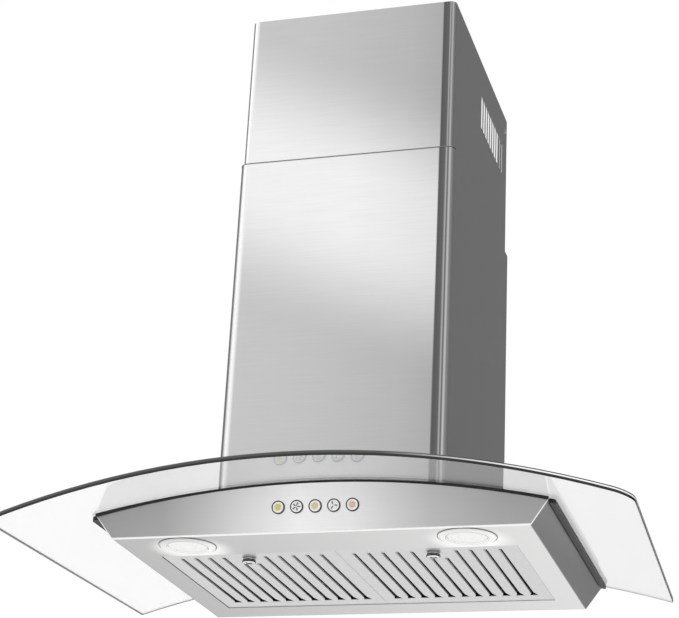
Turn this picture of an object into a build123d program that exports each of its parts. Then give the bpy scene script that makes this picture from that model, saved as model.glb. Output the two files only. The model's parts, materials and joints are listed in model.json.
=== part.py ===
from build123d import *
import os
from math import asin, cos, radians, sin, tan

# Chimney range hood with a bent glass canopy, in millimetres.
# +X is to the right seen from the front, the front faces -Y and +Z is up.
# The wall is the plane Y = 0, the body's underside is the plane Z = 0, and X = 0 is mid-width.

# ---------------------------------------------------------------- driving dimensions
SHEET = 1.2                  # body and blower sheet steel
COVER_SHEET = 1.0            # chimney cover sheet steel
BODY_WIDTH = 508.0           # across the flat underside
BODY_DEPTH = 388.0           # wall to the front panel's lower edge
CROWN_HEIGHT = 57.0          # body height at mid-width
SIDE_SLOPE = 20.0 / 27.0     # how far a side panel leans out for each millimetre of height
FRONT_LEAN = 8.0             # degrees, the front panel leans forward at its top

GLASS_THICKNESS = 6.0
GLASS_BEND_RADIUS = 1262.0   # underside of the glass
GLASS_FRONT_WIDTH = 762.0
GLASS_REAR_WIDTH = 734.0
GLASS_SIDE_DEPTH = 470.0
GLASS_BOW = 16.0             # the front edge runs forward by this much at mid-width
GLASS_CORNER = 24.0
SEAL_THICKNESS = 3.0
SEAL_WIDTH = 12.0
RAIL_WIDTH = 7.0
RAIL_HEIGHT = 5.0
RAIL_REAR = -10.0

LOWER_COVER_WIDTH = 286.0
COVER_DEPTH = 345.0
COVER_CORNER = 11.0          # outer radius of the covers' front corners
COVER_LIP = 12.0             # the covers' rear edges turn in by this much
COVER_GAP = 2.0              # between the two covers
LOWER_COVER_TOP = 514.0
UPPER_COVER_BOTTOM = 318.0
UPPER_COVER_TOP = 729.0

BLOWER_BOX_WIDTH = 244.0
BLOWER_BOX_DEPTH = 296.0
BLOWER_BOX_TOP = 262.0
BLOWER_BOX_BOTTOM = 44.0
FAN_Y = -118.0
FAN_Z = 165.0
DUCT_RADIUS = 75.0
DUCT_Y = -172.0

FILTER_OPENING_WIDTH = 444.4
FILTER_OPENING_FRONT = -305.2
FILTER_OPENING_REAR = -48.2
LAMP_X = 172.0
LAMP_Y = -348.0
BUTTON_COUNT = 5
BUTTON_PITCH = 22.6
BUTTON_HEIGHT = 30.0         # up the front panel from the underside

# ---------------------------------------------------------------- worked out from them
SIDES = (("left", -1), ("right", 1))
BODY_HALF = BODY_WIDTH / 2
BEND_AXIS_Z = CROWN_HEIGHT + SEAL_THICKNESS - GLASS_BEND_RADIUS
SEAL_LOW_RADIUS = GLASS_BEND_RADIUS - SEAL_THICKNESS
GLASS_TOP_RADIUS = GLASS_BEND_RADIUS + GLASS_THICKNESS
REACH = 520.0                # longer than anything from front to back
TALL = 150.0                 # taller than the body and the glass

FRONT_PLANE = Plane(
    origin=(0, -BODY_DEPTH, 0),
    x_dir=(1, 0, 0),
    z_dir=(0, -cos(radians(FRONT_LEAN)), -sin(radians(FRONT_LEAN))),
)
FRONT_INNER_PLANE = FRONT_PLANE.offset(-SHEET)
FAN_PLANE = Plane(origin=(0, FAN_Y, FAN_Z), x_dir=(0, 1, 0), z_dir=(1, 0, 0))

os.makedirs("parts", exist_ok=True)


def finish_piece(piece, node):
    """Label a finished piece and write its STEP file."""
    piece.part.label = node
    export_step(piece.part, f"parts/{node}.step")


# ---------------------------------------------------------------- shared profiles
def bent_band(low_radius, high_radius):
    """The strip between two arcs about the glass's bend axis, seen from the front."""
    with BuildSketch(Plane.XZ) as band:
        with Locations((0, BEND_AXIS_Z)):
            Circle(high_radius)
            Circle(low_radius, mode=Mode.SUBTRACT)
        Rectangle(GLASS_FRONT_WIDTH + TALL, 2 * TALL, mode=Mode.INTERSECT)
    return band.sketch


def body_profile(inset):
    """The body's outline seen from the front, with its sides moved in by inset."""
    half = BODY_HALF - inset
    rise = TALL * SIDE_SLOPE
    with BuildSketch(Plane.XZ) as profile:
        with BuildLine():
            Polyline((-half, 0), (half, 0), (half + rise, TALL), (-half - rise, TALL), close=True)
        make_face()
        with Locations((0, BEND_AXIS_Z)):
            Circle(SEAL_LOW_RADIUS, mode=Mode.INTERSECT)
    return profile.sketch


def glass_normal_plane(x, y):
    """The plane on the glass's underside at x, y, facing out along the bend's radius."""
    tilt = asin(x / GLASS_BEND_RADIUS)
    height = BEND_AXIS_Z + GLASS_BEND_RADIUS * cos(tilt)
    return Plane(origin=(x, y, height), x_dir=(cos(tilt), 0, -sin(tilt)), z_dir=(sin(tilt), 0, cos(tilt)))


BODY_OUTLINE = body_profile(0)
DECK_BAND = bent_band(SEAL_LOW_RADIUS - SHEET, SEAL_LOW_RADIUS)
SEAL_BAND = bent_band(SEAL_LOW_RADIUS, GLASS_BEND_RADIUS)
RAIL_BAND = bent_band(GLASS_BEND_RADIUS - RAIL_HEIGHT, GLASS_BEND_RADIUS)
GLASS_BAND = bent_band(GLASS_BEND_RADIUS, GLASS_TOP_RADIUS)

# ---------------------------------------------------------------- body shell
BUTTON_HOLE_RADIUS = 7.4
with BuildPart() as front_panel:
    with BuildSketch(FRONT_PLANE):
        Rectangle(BODY_WIDTH + TALL, 2 * TALL)
    extrude(amount=-SHEET)
    extrude(BODY_OUTLINE, amount=REACH, mode=Mode.INTERSECT)
    with BuildSketch(FRONT_PLANE):
        with Locations((0, BUTTON_HEIGHT)):
            with GridLocations(BUTTON_PITCH, BUTTON_PITCH, BUTTON_COUNT, 1):
                Circle(BUTTON_HOLE_RADIUS)
    extrude(amount=-2 * SHEET, mode=Mode.SUBTRACT)
finish_piece(front_panel, "front_panel")

for side, sign in SIDES:
    rise = TALL * SIDE_SLOPE
    with BuildPart() as side_panel:
        with BuildSketch(Plane.XZ.offset(SHEET)):
            with BuildLine():
                Polyline(
                    (sign * BODY_HALF, 0),
                    (sign * (BODY_HALF - SHEET), 0),
                    (sign * (BODY_HALF - SHEET + rise), TALL),
                    (sign * (BODY_HALF + rise), TALL),
                    close=True,
                )
            make_face()
        extrude(amount=REACH)
        extrude(BODY_OUTLINE, amount=REACH, mode=Mode.INTERSECT)
        split(bisect_by=FRONT_INNER_PLANE, keep=Keep.BOTTOM)
    finish_piece(side_panel, f"side_panel_{side}")

with BuildPart() as rear_panel:
    extrude(BODY_OUTLINE, amount=SHEET)
finish_piece(rear_panel, "rear_panel")

# ---------------------------------------------------------------- bottom pan
PAN_FRONT = -BODY_DEPTH + SHEET / cos(radians(FRONT_LEAN))
RIM_HEIGHT = 14.0
LAMP_HOLE_RADIUS = 29.0
OPENING_DEPTH = FILTER_OPENING_REAR - FILTER_OPENING_FRONT
OPENING_Y = (FILTER_OPENING_REAR + FILTER_OPENING_FRONT) / 2
LATCH_X = 116.0
LATCH_Y = -281.0
BOLT_WIDTH = 18.0
BOLT_LOW = 2.0
BOLT_THICKNESS = 1.5
KEEPER_CLEARANCE = 1.0
with BuildPart() as bottom_pan:
    with BuildSketch(Plane.XY):
        with Locations((0, (PAN_FRONT - SHEET) / 2)):
            Rectangle(BODY_WIDTH - 2 * SHEET, -PAN_FRONT - SHEET)
    extrude(amount=SHEET)
    with BuildSketch(Plane.XY):
        with Locations((0, OPENING_Y)):
            Rectangle(FILTER_OPENING_WIDTH + 2 * SHEET, OPENING_DEPTH + 2 * SHEET)
    extrude(amount=RIM_HEIGHT)
    with BuildSketch(Plane.XY):
        with Locations((0, OPENING_Y)):
            Rectangle(FILTER_OPENING_WIDTH, OPENING_DEPTH)
        with GridLocations(2 * LAMP_X, 0, 2, 1):
            with Locations((0, LAMP_Y)):
                Circle(LAMP_HOLE_RADIUS)
    extrude(amount=RIM_HEIGHT, mode=Mode.SUBTRACT)
    # keeper slots for the two latch bolts, in the rim's front wall
    with BuildSketch(Plane.XZ.offset(-FILTER_OPENING_FRONT)):
        with GridLocations(2 * LATCH_X, 0, 2, 1):
            with Locations((0, BOLT_LOW + BOLT_THICKNESS / 2)):
                Rectangle(BOLT_WIDTH + KEEPER_CLEARANCE, BOLT_THICKNESS + KEEPER_CLEARANCE)
    extrude(amount=2 * SHEET, mode=Mode.SUBTRACT)
finish_piece(bottom_pan, "bottom_pan")

# ---------------------------------------------------------------- deck under the glass
SCREW_X = 196.0
SCREW_FRONT_Y = -330.0
SCREW_REAR_Y = -70.0
SCREW_PLANES = [
    glass_normal_plane(sign * SCREW_X, y) for _, sign in SIDES for y in (SCREW_FRONT_Y, SCREW_REAR_Y)
]
SCREW_RADIUS = 2.5
SCREW_CLEARANCE = 0.3
GROMMET_SLEEVE_RADIUS = 5.9
GLASS_HOLE_RADIUS = 6.0
DECK_OUTLINE = body_profile(SHEET)
with BuildPart() as top_deck:
    extrude(DECK_BAND, amount=REACH)
    extrude(DECK_OUTLINE, amount=REACH, mode=Mode.INTERSECT)
    split(bisect_by=FRONT_INNER_PLANE, keep=Keep.BOTTOM)
    split(bisect_by=Plane.XZ.offset(SHEET), keep=Keep.TOP)
    with BuildSketch(Plane.XY):
        with Locations((0, -(BLOWER_BOX_DEPTH + SHEET) / 2)):
            Rectangle(BLOWER_BOX_WIDTH, BLOWER_BOX_DEPTH - SHEET)
    extrude(amount=TALL, mode=Mode.SUBTRACT)
    for plane in SCREW_PLANES:
        with BuildSketch(plane):
            Circle(SCREW_RADIUS + SCREW_CLEARANCE)
        extrude(amount=-GLASS_HOLE_RADIUS, mode=Mode.SUBTRACT)
finish_piece(top_deck, "top_deck")

# ---------------------------------------------------------------- seal and rails under the glass
SEAL_HALF_WIDTH = 275.0
SEAL_FRONT = -BODY_DEPTH - CROWN_HEIGHT * tan(radians(FRONT_LEAN))
with BuildPart() as canopy_seal:
    with BuildSketch(Plane.XY.offset(-TALL / 2)):
        with Locations((0, SEAL_FRONT / 2)):
            Rectangle(2 * SEAL_HALF_WIDTH, -SEAL_FRONT)
            Rectangle(2 * (SEAL_HALF_WIDTH - SEAL_WIDTH), -SEAL_FRONT - 2 * SEAL_WIDTH, mode=Mode.SUBTRACT)
    extrude(amount=2 * TALL)
    extrude(SEAL_BAND, amount=REACH, mode=Mode.INTERSECT)
    # the blower box passes through the rear run of the seal
    with BuildSketch(Plane.XY):
        with Locations((0, -SEAL_WIDTH / 2)):
            Rectangle(BLOWER_BOX_WIDTH, SEAL_WIDTH)
    extrude(amount=TALL, mode=Mode.SUBTRACT)
finish_piece(canopy_seal, "canopy_seal")

for side, sign in SIDES:
    with BuildPart() as glass_rail:
        with BuildSketch(Plane.XY.offset(-TALL / 2)):
            with Locations((sign * (SEAL_HALF_WIDTH + RAIL_WIDTH / 2), (RAIL_REAR - BODY_DEPTH) / 2)):
                RectangleRounded(RAIL_WIDTH, BODY_DEPTH + RAIL_REAR, RAIL_WIDTH / 3)
        extrude(amount=2 * TALL)
        extrude(RAIL_BAND, amount=REACH, mode=Mode.INTERSECT)
    finish_piece(glass_rail, f"glass_rail_{side}")

# ---------------------------------------------------------------- glass canopy
NOTCH_WIDTH = BLOWER_BOX_WIDTH + 6.0
NOTCH_DEPTH = BLOWER_BOX_DEPTH + 4.0
REAR_CORNER = 8.0
with BuildPart() as glass_canopy:
    with BuildSketch(Plane.XY.offset(-TALL / 2)):
        with BuildLine():
            front_left = (-GLASS_FRONT_WIDTH / 2, -GLASS_SIDE_DEPTH)
            front_right = (GLASS_FRONT_WIDTH / 2, -GLASS_SIDE_DEPTH)
            rear_left = (-GLASS_REAR_WIDTH / 2, 0)
            rear_right = (GLASS_REAR_WIDTH / 2, 0)
            ThreePointArc(front_left, (0, -GLASS_SIDE_DEPTH - GLASS_BOW), front_right)
            Line(front_right, rear_right)
            Line(rear_right, rear_left)
            Line(rear_left, front_left)
        canopy_plan = make_face()
        fillet(canopy_plan.vertices().group_by(Axis.Y)[0], GLASS_CORNER)
        fillet(canopy_plan.vertices().group_by(Axis.Y)[-1], REAR_CORNER)
    extrude(amount=2 * TALL)
    extrude(GLASS_BAND, amount=REACH, mode=Mode.INTERSECT)
    with BuildSketch(Plane.XY):
        with Locations((0, -NOTCH_DEPTH / 2)):
            Rectangle(NOTCH_WIDTH, NOTCH_DEPTH)
    extrude(amount=TALL, mode=Mode.SUBTRACT)
    for plane in SCREW_PLANES:
        with BuildSketch(plane.offset(-GLASS_THICKNESS)):
            Circle(GLASS_HOLE_RADIUS)
        extrude(amount=3 * GLASS_THICKNESS, mode=Mode.SUBTRACT)
finish_piece(glass_canopy, "glass_canopy")

# each screw clamps the glass to the deck between the two flanges of a rubber grommet
GROMMET_RADIUS = 10.0
GROMMET_FLANGE = 1.5
SCREW_HEAD_RADIUS = 5.0
SCREW_HEAD_HEIGHT = 3.0
NUT_RADIUS = 4.5
NUT_HEIGHT = 4.0
GLASS_CLEARANCE = 0.15
GROMMET_BORE_CLEARANCE = 0.1
with BuildPart() as glass_grommets:
    for plane in SCREW_PLANES:
        with BuildSketch(plane.offset(-SEAL_THICKNESS + GLASS_CLEARANCE)):
            Circle(GROMMET_RADIUS)
        extrude(amount=SEAL_THICKNESS - 2 * GLASS_CLEARANCE)
        with BuildSketch(plane.offset(-2 * GLASS_CLEARANCE)):
            Circle(GROMMET_SLEEVE_RADIUS)
        extrude(amount=GLASS_THICKNESS + 4 * GLASS_CLEARANCE)
        with BuildSketch(plane.offset(GLASS_THICKNESS + GLASS_CLEARANCE)):
            Circle(GROMMET_RADIUS)
        extrude(amount=GROMMET_FLANGE)
        with BuildSketch(plane.offset(-SEAL_THICKNESS)):
            Circle(SCREW_RADIUS + GROMMET_BORE_CLEARANCE)
        extrude(amount=GLASS_THICKNESS + 2 * SEAL_THICKNESS, mode=Mode.SUBTRACT)
finish_piece(glass_grommets, "glass_grommets")

HEAD_SEAT = GLASS_THICKNESS + GLASS_CLEARANCE + GROMMET_FLANGE
SCREW_END = 1.0              # past the nut
NUT_SEAT = -SEAL_THICKNESS - SHEET - GLASS_CLEARANCE
with BuildPart() as glass_screws:
    for plane in SCREW_PLANES:
        with BuildSketch(plane.offset(NUT_SEAT - NUT_HEIGHT - SCREW_END)):
            Circle(SCREW_RADIUS)
        extrude(amount=HEAD_SEAT - NUT_SEAT + NUT_HEIGHT + SCREW_END)
        with BuildSketch(plane.offset(HEAD_SEAT)):
            Circle(SCREW_HEAD_RADIUS)
        extrude(amount=SCREW_HEAD_HEIGHT)
        with BuildSketch(plane.offset(NUT_SEAT - NUT_HEIGHT)):
            RegularPolygon(NUT_RADIUS, 6)
        extrude(amount=NUT_HEIGHT)
finish_piece(glass_screws, "glass_screws")


# ---------------------------------------------------------------- chimney covers
def cover_plan(width, depth, rear_y, corner, height):
    """A cover's plan at a height: square at the rear and rounded at its two front corners."""
    with BuildSketch(Plane.XY.offset(height)) as plan:
        with Locations((0, rear_y - depth / 2)):
            Rectangle(width, depth)
        fillet(plan.vertices().group_by(Axis.Y)[0], corner)
    return plan.sketch


LOWER_OUTER = cover_plan(LOWER_COVER_WIDTH, COVER_DEPTH, 0, COVER_CORNER, 0)
LOWER_INNER = cover_plan(
    LOWER_COVER_WIDTH - 2 * COVER_SHEET,
    COVER_DEPTH - 2 * COVER_SHEET,
    -COVER_SHEET,
    COVER_CORNER - COVER_SHEET,
    0,
)
COVER_FOOT_GAP = 0.3
with BuildPart() as chimney_lower:
    extrude(LOWER_OUTER, amount=LOWER_COVER_TOP)
    extrude(LOWER_INNER, amount=LOWER_COVER_TOP, mode=Mode.SUBTRACT)
    with BuildSketch(Plane.XY):
        Rectangle(LOWER_COVER_WIDTH - 2 * COVER_LIP, 2 * COVER_LIP)
    extrude(amount=LOWER_COVER_TOP, mode=Mode.SUBTRACT)
    # the foot follows the bend of the glass it stands on
    with BuildSketch(Plane.XZ):
        with Locations((0, BEND_AXIS_Z)):
            Circle(GLASS_TOP_RADIUS + COVER_FOOT_GAP)
    extrude(amount=REACH, mode=Mode.SUBTRACT)
finish_piece(chimney_lower, "chimney_lower")

UPPER_COVER_WIDTH = LOWER_COVER_WIDTH - 2 * COVER_SHEET - 2 * COVER_GAP
UPPER_COVER_REAR = -COVER_SHEET - COVER_GAP
UPPER_COVER_DEPTH = COVER_DEPTH - 2 * COVER_SHEET - 2 * COVER_GAP
UPPER_OUTER = cover_plan(
    UPPER_COVER_WIDTH,
    UPPER_COVER_DEPTH,
    UPPER_COVER_REAR,
    COVER_CORNER - COVER_SHEET - COVER_GAP,
    UPPER_COVER_BOTTOM,
)
UPPER_INNER = cover_plan(
    UPPER_COVER_WIDTH - 2 * COVER_SHEET,
    UPPER_COVER_DEPTH - 2 * COVER_SHEET,
    UPPER_COVER_REAR - COVER_SHEET,
    COVER_CORNER - 2 * COVER_SHEET - COVER_GAP,
    UPPER_COVER_BOTTOM,
)
UPPER_COVER_LENGTH = UPPER_COVER_TOP - UPPER_COVER_BOTTOM
VENT_COUNT = 10
VENT_PITCH = 14.6
VENT_WIDTH = 9.5
VENT_HEIGHT = 48.0
VENT_TOP_DROP = 52.0         # from the cover's top to the slots' tops
VENT_Y = -105.0              # middle of the row of slots
BRACKET_HOLE_RADIUS = 4.0
BRACKET_HOLE_DROP = 21.0
BRACKET_HOLE_Y = UPPER_COVER_REAR - 12.0
with BuildPart() as chimney_upper:
    extrude(UPPER_OUTER, amount=UPPER_COVER_LENGTH)
    extrude(UPPER_INNER, amount=UPPER_COVER_LENGTH, mode=Mode.SUBTRACT)
    with BuildSketch(Plane.XY.offset(UPPER_COVER_BOTTOM)):
        Rectangle(UPPER_COVER_WIDTH - 2 * COVER_LIP, 2 * COVER_LIP)
    extrude(amount=UPPER_COVER_LENGTH, mode=Mode.SUBTRACT)
    # vent slots and the wall bracket's screw hole, through both sides
    with BuildSketch(Plane.YZ):
        with Locations((VENT_Y, UPPER_COVER_TOP - VENT_TOP_DROP - VENT_HEIGHT / 2)):
            with GridLocations(VENT_PITCH, VENT_HEIGHT, VENT_COUNT, 1):
                Rectangle(VENT_WIDTH, VENT_HEIGHT)
        with Locations((BRACKET_HOLE_Y, UPPER_COVER_TOP - BRACKET_HOLE_DROP)):
            Circle(BRACKET_HOLE_RADIUS)
    extrude(amount=UPPER_COVER_WIDTH, both=True, mode=Mode.SUBTRACT)
finish_piece(chimney_upper, "chimney_upper")

# ---------------------------------------------------------------- blower box and wall plate
BOX_HALF = BLOWER_BOX_WIDTH / 2
BOX_FRONT = -BLOWER_BOX_DEPTH
BOX_MIDDLE_Y = (BOX_FRONT - SHEET) / 2
BOX_OUTLET_RADIUS = 74.0
with BuildPart() as blower_box:
    with BuildSketch(Plane.XY.offset(BLOWER_BOX_BOTTOM)):
        with Locations((0, BOX_MIDDLE_Y)):
            Rectangle(BLOWER_BOX_WIDTH, BLOWER_BOX_DEPTH - SHEET)
    extrude(amount=BLOWER_BOX_TOP - BLOWER_BOX_BOTTOM)
    with BuildSketch(Plane.XY.offset(BLOWER_BOX_BOTTOM)):
        with Locations((0, BOX_MIDDLE_Y + SHEET / 2)):
            Rectangle(BLOWER_BOX_WIDTH - 2 * SHEET, BLOWER_BOX_DEPTH - 2 * SHEET)
    extrude(amount=BLOWER_BOX_TOP - BLOWER_BOX_BOTTOM - SHEET, mode=Mode.SUBTRACT)
    with BuildSketch(Plane.XY.offset(BLOWER_BOX_TOP - 2 * SHEET)):
        with Locations((0, DUCT_Y)):
            Circle(BOX_OUTLET_RADIUS)
    extrude(amount=4 * SHEET, mode=Mode.SUBTRACT)
finish_piece(blower_box, "blower_box")

WALL_HOLE_RADIUS = 4.0
WALL_HOLE_SPACING_X = 180.0
WALL_HOLE_SPACING_Z = 196.0
WALL_HOLE_MIDDLE_Z = 178.0
WALL_PLATE_TOP = 292.0
with BuildPart() as wall_plate:
    with BuildSketch(Plane.XZ):
        with Locations((0, WALL_PLATE_TOP / 2)):
            Rectangle(BLOWER_BOX_WIDTH, WALL_PLATE_TOP)
        with Locations((0, BEND_AXIS_Z)):
            Circle(SEAL_LOW_RADIUS, mode=Mode.SUBTRACT)
        with Locations((0, WALL_HOLE_MIDDLE_Z)):
            with GridLocations(WALL_HOLE_SPACING_X, WALL_HOLE_SPACING_Z, 2, 2):
                Circle(WALL_HOLE_RADIUS, mode=Mode.SUBTRACT)
    extrude(amount=SHEET)
finish_piece(wall_plate, "wall_plate")

# two angles hold the lower cover's foot to the blower box
ANGLE_LOW = 80.0
ANGLE_HEIGHT = 24.0
ANGLE_LENGTH = 30.0
ANGLE_Y = -190.0
COVER_INNER_HALF = LOWER_COVER_WIDTH / 2 - COVER_SHEET
with BuildPart() as cover_angles:
    for _, sign in SIDES:
        with BuildSketch(Plane.XZ.offset(-ANGLE_Y)):
            with BuildLine():
                Polyline(
                    (sign * BOX_HALF, ANGLE_LOW),
                    (sign * COVER_INNER_HALF, ANGLE_LOW),
                    (sign * COVER_INNER_HALF, ANGLE_LOW + ANGLE_HEIGHT),
                    (sign * (COVER_INNER_HALF - SHEET), ANGLE_LOW + ANGLE_HEIGHT),
                    (sign * (COVER_INNER_HALF - SHEET), ANGLE_LOW + SHEET),
                    (sign * (BOX_HALF + SHEET), ANGLE_LOW + SHEET),
                    (sign * (BOX_HALF + SHEET), ANGLE_LOW + ANGLE_HEIGHT),
                    (sign * BOX_HALF, ANGLE_LOW + ANGLE_HEIGHT),
                    close=True,
                )
            make_face()
        extrude(amount=ANGLE_LENGTH)
finish_piece(cover_angles, "cover_angles")

# ---------------------------------------------------------------- volute, fan wheel and motor
VOLUTE_HALF_WIDTH = 60.0
VOLUTE_WALL = 1.5
VOLUTE_TOP = BLOWER_BOX_TOP - SHEET - FAN_Z
VOLUTE_RADII = (112.0, 104.0, 96.0, 88.0)
INLET_RADIUS = 60.0
OUTLET_REAR = -10.0          # rear wall of the outlet at its top, from the fan's axis
with BuildSketch(FAN_PLANE) as volute_outline:
    with BuildLine():
        outlet_front = Line((-VOLUTE_RADII[0], VOLUTE_TOP), (-VOLUTE_RADII[0], 0))
        lower_front = JernArc(outlet_front @ 1, outlet_front % 1, VOLUTE_RADII[0], 90)
        lower_rear = JernArc(lower_front @ 1, lower_front % 1, VOLUTE_RADII[1], 90)
        upper_rear = JernArc(lower_rear @ 1, lower_rear % 1, VOLUTE_RADII[2], 90)
        tongue = JernArc(upper_rear @ 1, upper_rear % 1, VOLUTE_RADII[3], 30)
        outlet_rear = Line(tongue @ 1, (OUTLET_REAR, VOLUTE_TOP))
        Line(outlet_rear @ 1, outlet_front @ 0)
    make_face()
with BuildPart() as volute:
    extrude(volute_outline.sketch, amount=VOLUTE_HALF_WIDTH, both=True)
    with BuildSketch(FAN_PLANE):
        add(volute_outline.sketch_local)
        offset(amount=-VOLUTE_WALL, mode=Mode.REPLACE)
        with Locations(((OUTLET_REAR - VOLUTE_RADII[0]) / 2, VOLUTE_TOP - VOLUTE_WALL)):
            Rectangle(VOLUTE_RADII[0] + OUTLET_REAR - 4 * VOLUTE_WALL, 4 * VOLUTE_WALL)
    extrude(amount=VOLUTE_HALF_WIDTH - VOLUTE_WALL, both=True, mode=Mode.SUBTRACT)
    with BuildSketch(FAN_PLANE):
        Circle(INLET_RADIUS)
    extrude(amount=2 * VOLUTE_HALF_WIDTH, both=True, mode=Mode.SUBTRACT)
finish_piece(volute, "volute")

INLET_LIP_RADIUS = 58.0
INLET_FLANGE_RADIUS = 72.0
INLET_LIP_DEPTH = 8.0
for side, sign in SIDES:
    with BuildPart() as inlet_ring:
        with BuildSketch(FAN_PLANE.offset(sign * VOLUTE_HALF_WIDTH)):
            Circle(INLET_FLANGE_RADIUS)
            Circle(INLET_LIP_RADIUS, mode=Mode.SUBTRACT)
        extrude(amount=sign * SHEET)
        with BuildSketch(FAN_PLANE.offset(sign * VOLUTE_HALF_WIDTH)):
            Circle(INLET_LIP_RADIUS + SHEET)
            Circle(INLET_LIP_RADIUS, mode=Mode.SUBTRACT)
        extrude(amount=-sign * INLET_LIP_DEPTH)
    finish_piece(inlet_ring, f"inlet_ring_{side}")

WHEEL_RADIUS = 76.0
WHEEL_INNER_RADIUS = 61.0
WHEEL_HALF_LENGTH = 48.0
WHEEL_RING = 2.0
BLADE_COUNT = 36
BLADE_CHORD = 13.0
BLADE_ANGLE = 35.0
BLADE_THICKNESS = 1.2
HUB_RADIUS = 9.0
HUB_LEFT = -14.0
HUB_RIGHT = 6.0
SHAFT_RADIUS = 4.0
with BuildPart() as fan_wheel:
    with BuildSketch(FAN_PLANE.offset(-WHEEL_HALF_LENGTH)):
        with PolarLocations((WHEEL_RADIUS + WHEEL_INNER_RADIUS) / 2, BLADE_COUNT):
            Rectangle(BLADE_CHORD, BLADE_THICKNESS, rotation=BLADE_ANGLE)
    extrude(amount=2 * WHEEL_HALF_LENGTH)
    for ring_start in (-WHEEL_HALF_LENGTH, WHEEL_HALF_LENGTH - WHEEL_RING):
        with BuildSketch(FAN_PLANE.offset(ring_start)):
            Circle(WHEEL_RADIUS)
            Circle(WHEEL_INNER_RADIUS, mode=Mode.SUBTRACT)
        extrude(amount=WHEEL_RING)
    with BuildSketch(FAN_PLANE.offset(-WHEEL_RING / 2)):
        Circle(WHEEL_RADIUS)
    extrude(amount=WHEEL_RING)
    with BuildSketch(FAN_PLANE.offset(HUB_LEFT)):
        Circle(HUB_RADIUS)
    extrude(amount=HUB_RIGHT - HUB_LEFT)
    with BuildSketch(FAN_PLANE.offset(HUB_LEFT)):
        Circle(SHAFT_RADIUS)
    extrude(amount=HUB_RIGHT - HUB_LEFT, mode=Mode.SUBTRACT)
finish_piece(fan_wheel, "fan_wheel")

MOTOR_LEFT = 10.0
MOTOR_RIGHT = 84.0
MOTOR_RADIUS = 44.0
SHAFT_RIGHT = 74.0
SHAFT_END = 2.0              # past the hub
SHAFT_END_ROOM = 1.0
MOTOR_FILLET = 6.0
BEARING_CLEARANCE = 0.05
with BuildPart() as motor_shaft:
    with BuildSketch(FAN_PLANE.offset(HUB_LEFT - SHAFT_END)):
        Circle(SHAFT_RADIUS)
    extrude(amount=SHAFT_RIGHT - HUB_LEFT + SHAFT_END)
finish_piece(motor_shaft, "motor_shaft")

with BuildPart() as motor:
    with BuildSketch(FAN_PLANE.offset(MOTOR_LEFT)):
        Circle(MOTOR_RADIUS)
    extrude(amount=MOTOR_RIGHT - MOTOR_LEFT)
    fillet(motor.edges().filter_by(GeomType.CIRCLE), MOTOR_FILLET)
    with BuildSketch(FAN_PLANE.offset(MOTOR_LEFT)):
        Circle(SHAFT_RADIUS + BEARING_CLEARANCE)
    extrude(amount=SHAFT_RIGHT + SHAFT_END_ROOM - MOTOR_LEFT, mode=Mode.SUBTRACT)
finish_piece(motor, "motor")

ARM_COUNT = 3
ARM_THICKNESS = 2.4
ARM_WIDTH = 14.0
ARM_RING_RADIUS = 52.0
ARM_END_RADIUS = 84.0
FOOT_LENGTH = 10.0
ARM_OVERLAP = 2.0            # how far an arm runs into its ring
ARM_LEFT = VOLUTE_HALF_WIDTH + ARM_THICKNESS
with BuildPart() as motor_bracket:
    with BuildSketch(FAN_PLANE.offset(ARM_LEFT)):
        Circle(ARM_RING_RADIUS)
        with PolarLocations((ARM_RING_RADIUS + ARM_END_RADIUS - ARM_OVERLAP) / 2, ARM_COUNT, start_angle=90):
            Rectangle(ARM_END_RADIUS - ARM_RING_RADIUS + ARM_OVERLAP, ARM_WIDTH)
        Circle(MOTOR_RADIUS, mode=Mode.SUBTRACT)
    extrude(amount=ARM_THICKNESS)
    with BuildSketch(FAN_PLANE.offset(VOLUTE_HALF_WIDTH)):
        with PolarLocations(ARM_END_RADIUS - FOOT_LENGTH / 2, ARM_COUNT, start_angle=90):
            Rectangle(FOOT_LENGTH, ARM_WIDTH)
    extrude(amount=ARM_THICKNESS)
finish_piece(motor_bracket, "motor_bracket")

# ---------------------------------------------------------------- control box in front of the blower box
CONTROL_HALF_WIDTH = 60.0
CONTROL_LOW = 100.0
CONTROL_HIGH = 190.0
CONTROL_DEPTH = 34.0
CONTROL_WALL = 2.0
CONTROL_MIDDLE_Z = (CONTROL_LOW + CONTROL_HIGH) / 2
CONTROL_HEIGHT = CONTROL_HIGH - CONTROL_LOW
CONTROL_PLANE = Plane.XZ.offset(BLOWER_BOX_DEPTH)
GLAND_RADIUS = 8.0
GLAND_HOLE_RADIUS = 6.0
GLAND_X = 34.0
GLAND_Y = -BLOWER_BOX_DEPTH - CONTROL_DEPTH / 2
with BuildPart() as control_box:
    with BuildSketch(CONTROL_PLANE):
        with Locations((0, CONTROL_MIDDLE_Z)):
            Rectangle(2 * CONTROL_HALF_WIDTH, CONTROL_HEIGHT)
    extrude(amount=CONTROL_DEPTH)
    with BuildSketch(CONTROL_PLANE.offset(CONTROL_WALL)):
        with Locations((0, CONTROL_MIDDLE_Z)):
            Rectangle(2 * (CONTROL_HALF_WIDTH - CONTROL_WALL), CONTROL_HEIGHT - 2 * CONTROL_WALL)
    extrude(amount=CONTROL_DEPTH, mode=Mode.SUBTRACT)
    with BuildSketch(Plane.XY.offset(CONTROL_HIGH)):
        with Locations((GLAND_X, GLAND_Y)):
            Circle(GLAND_HOLE_RADIUS)
    extrude(amount=-2 * CONTROL_WALL, mode=Mode.SUBTRACT)
finish_piece(control_box, "control_box")

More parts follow.
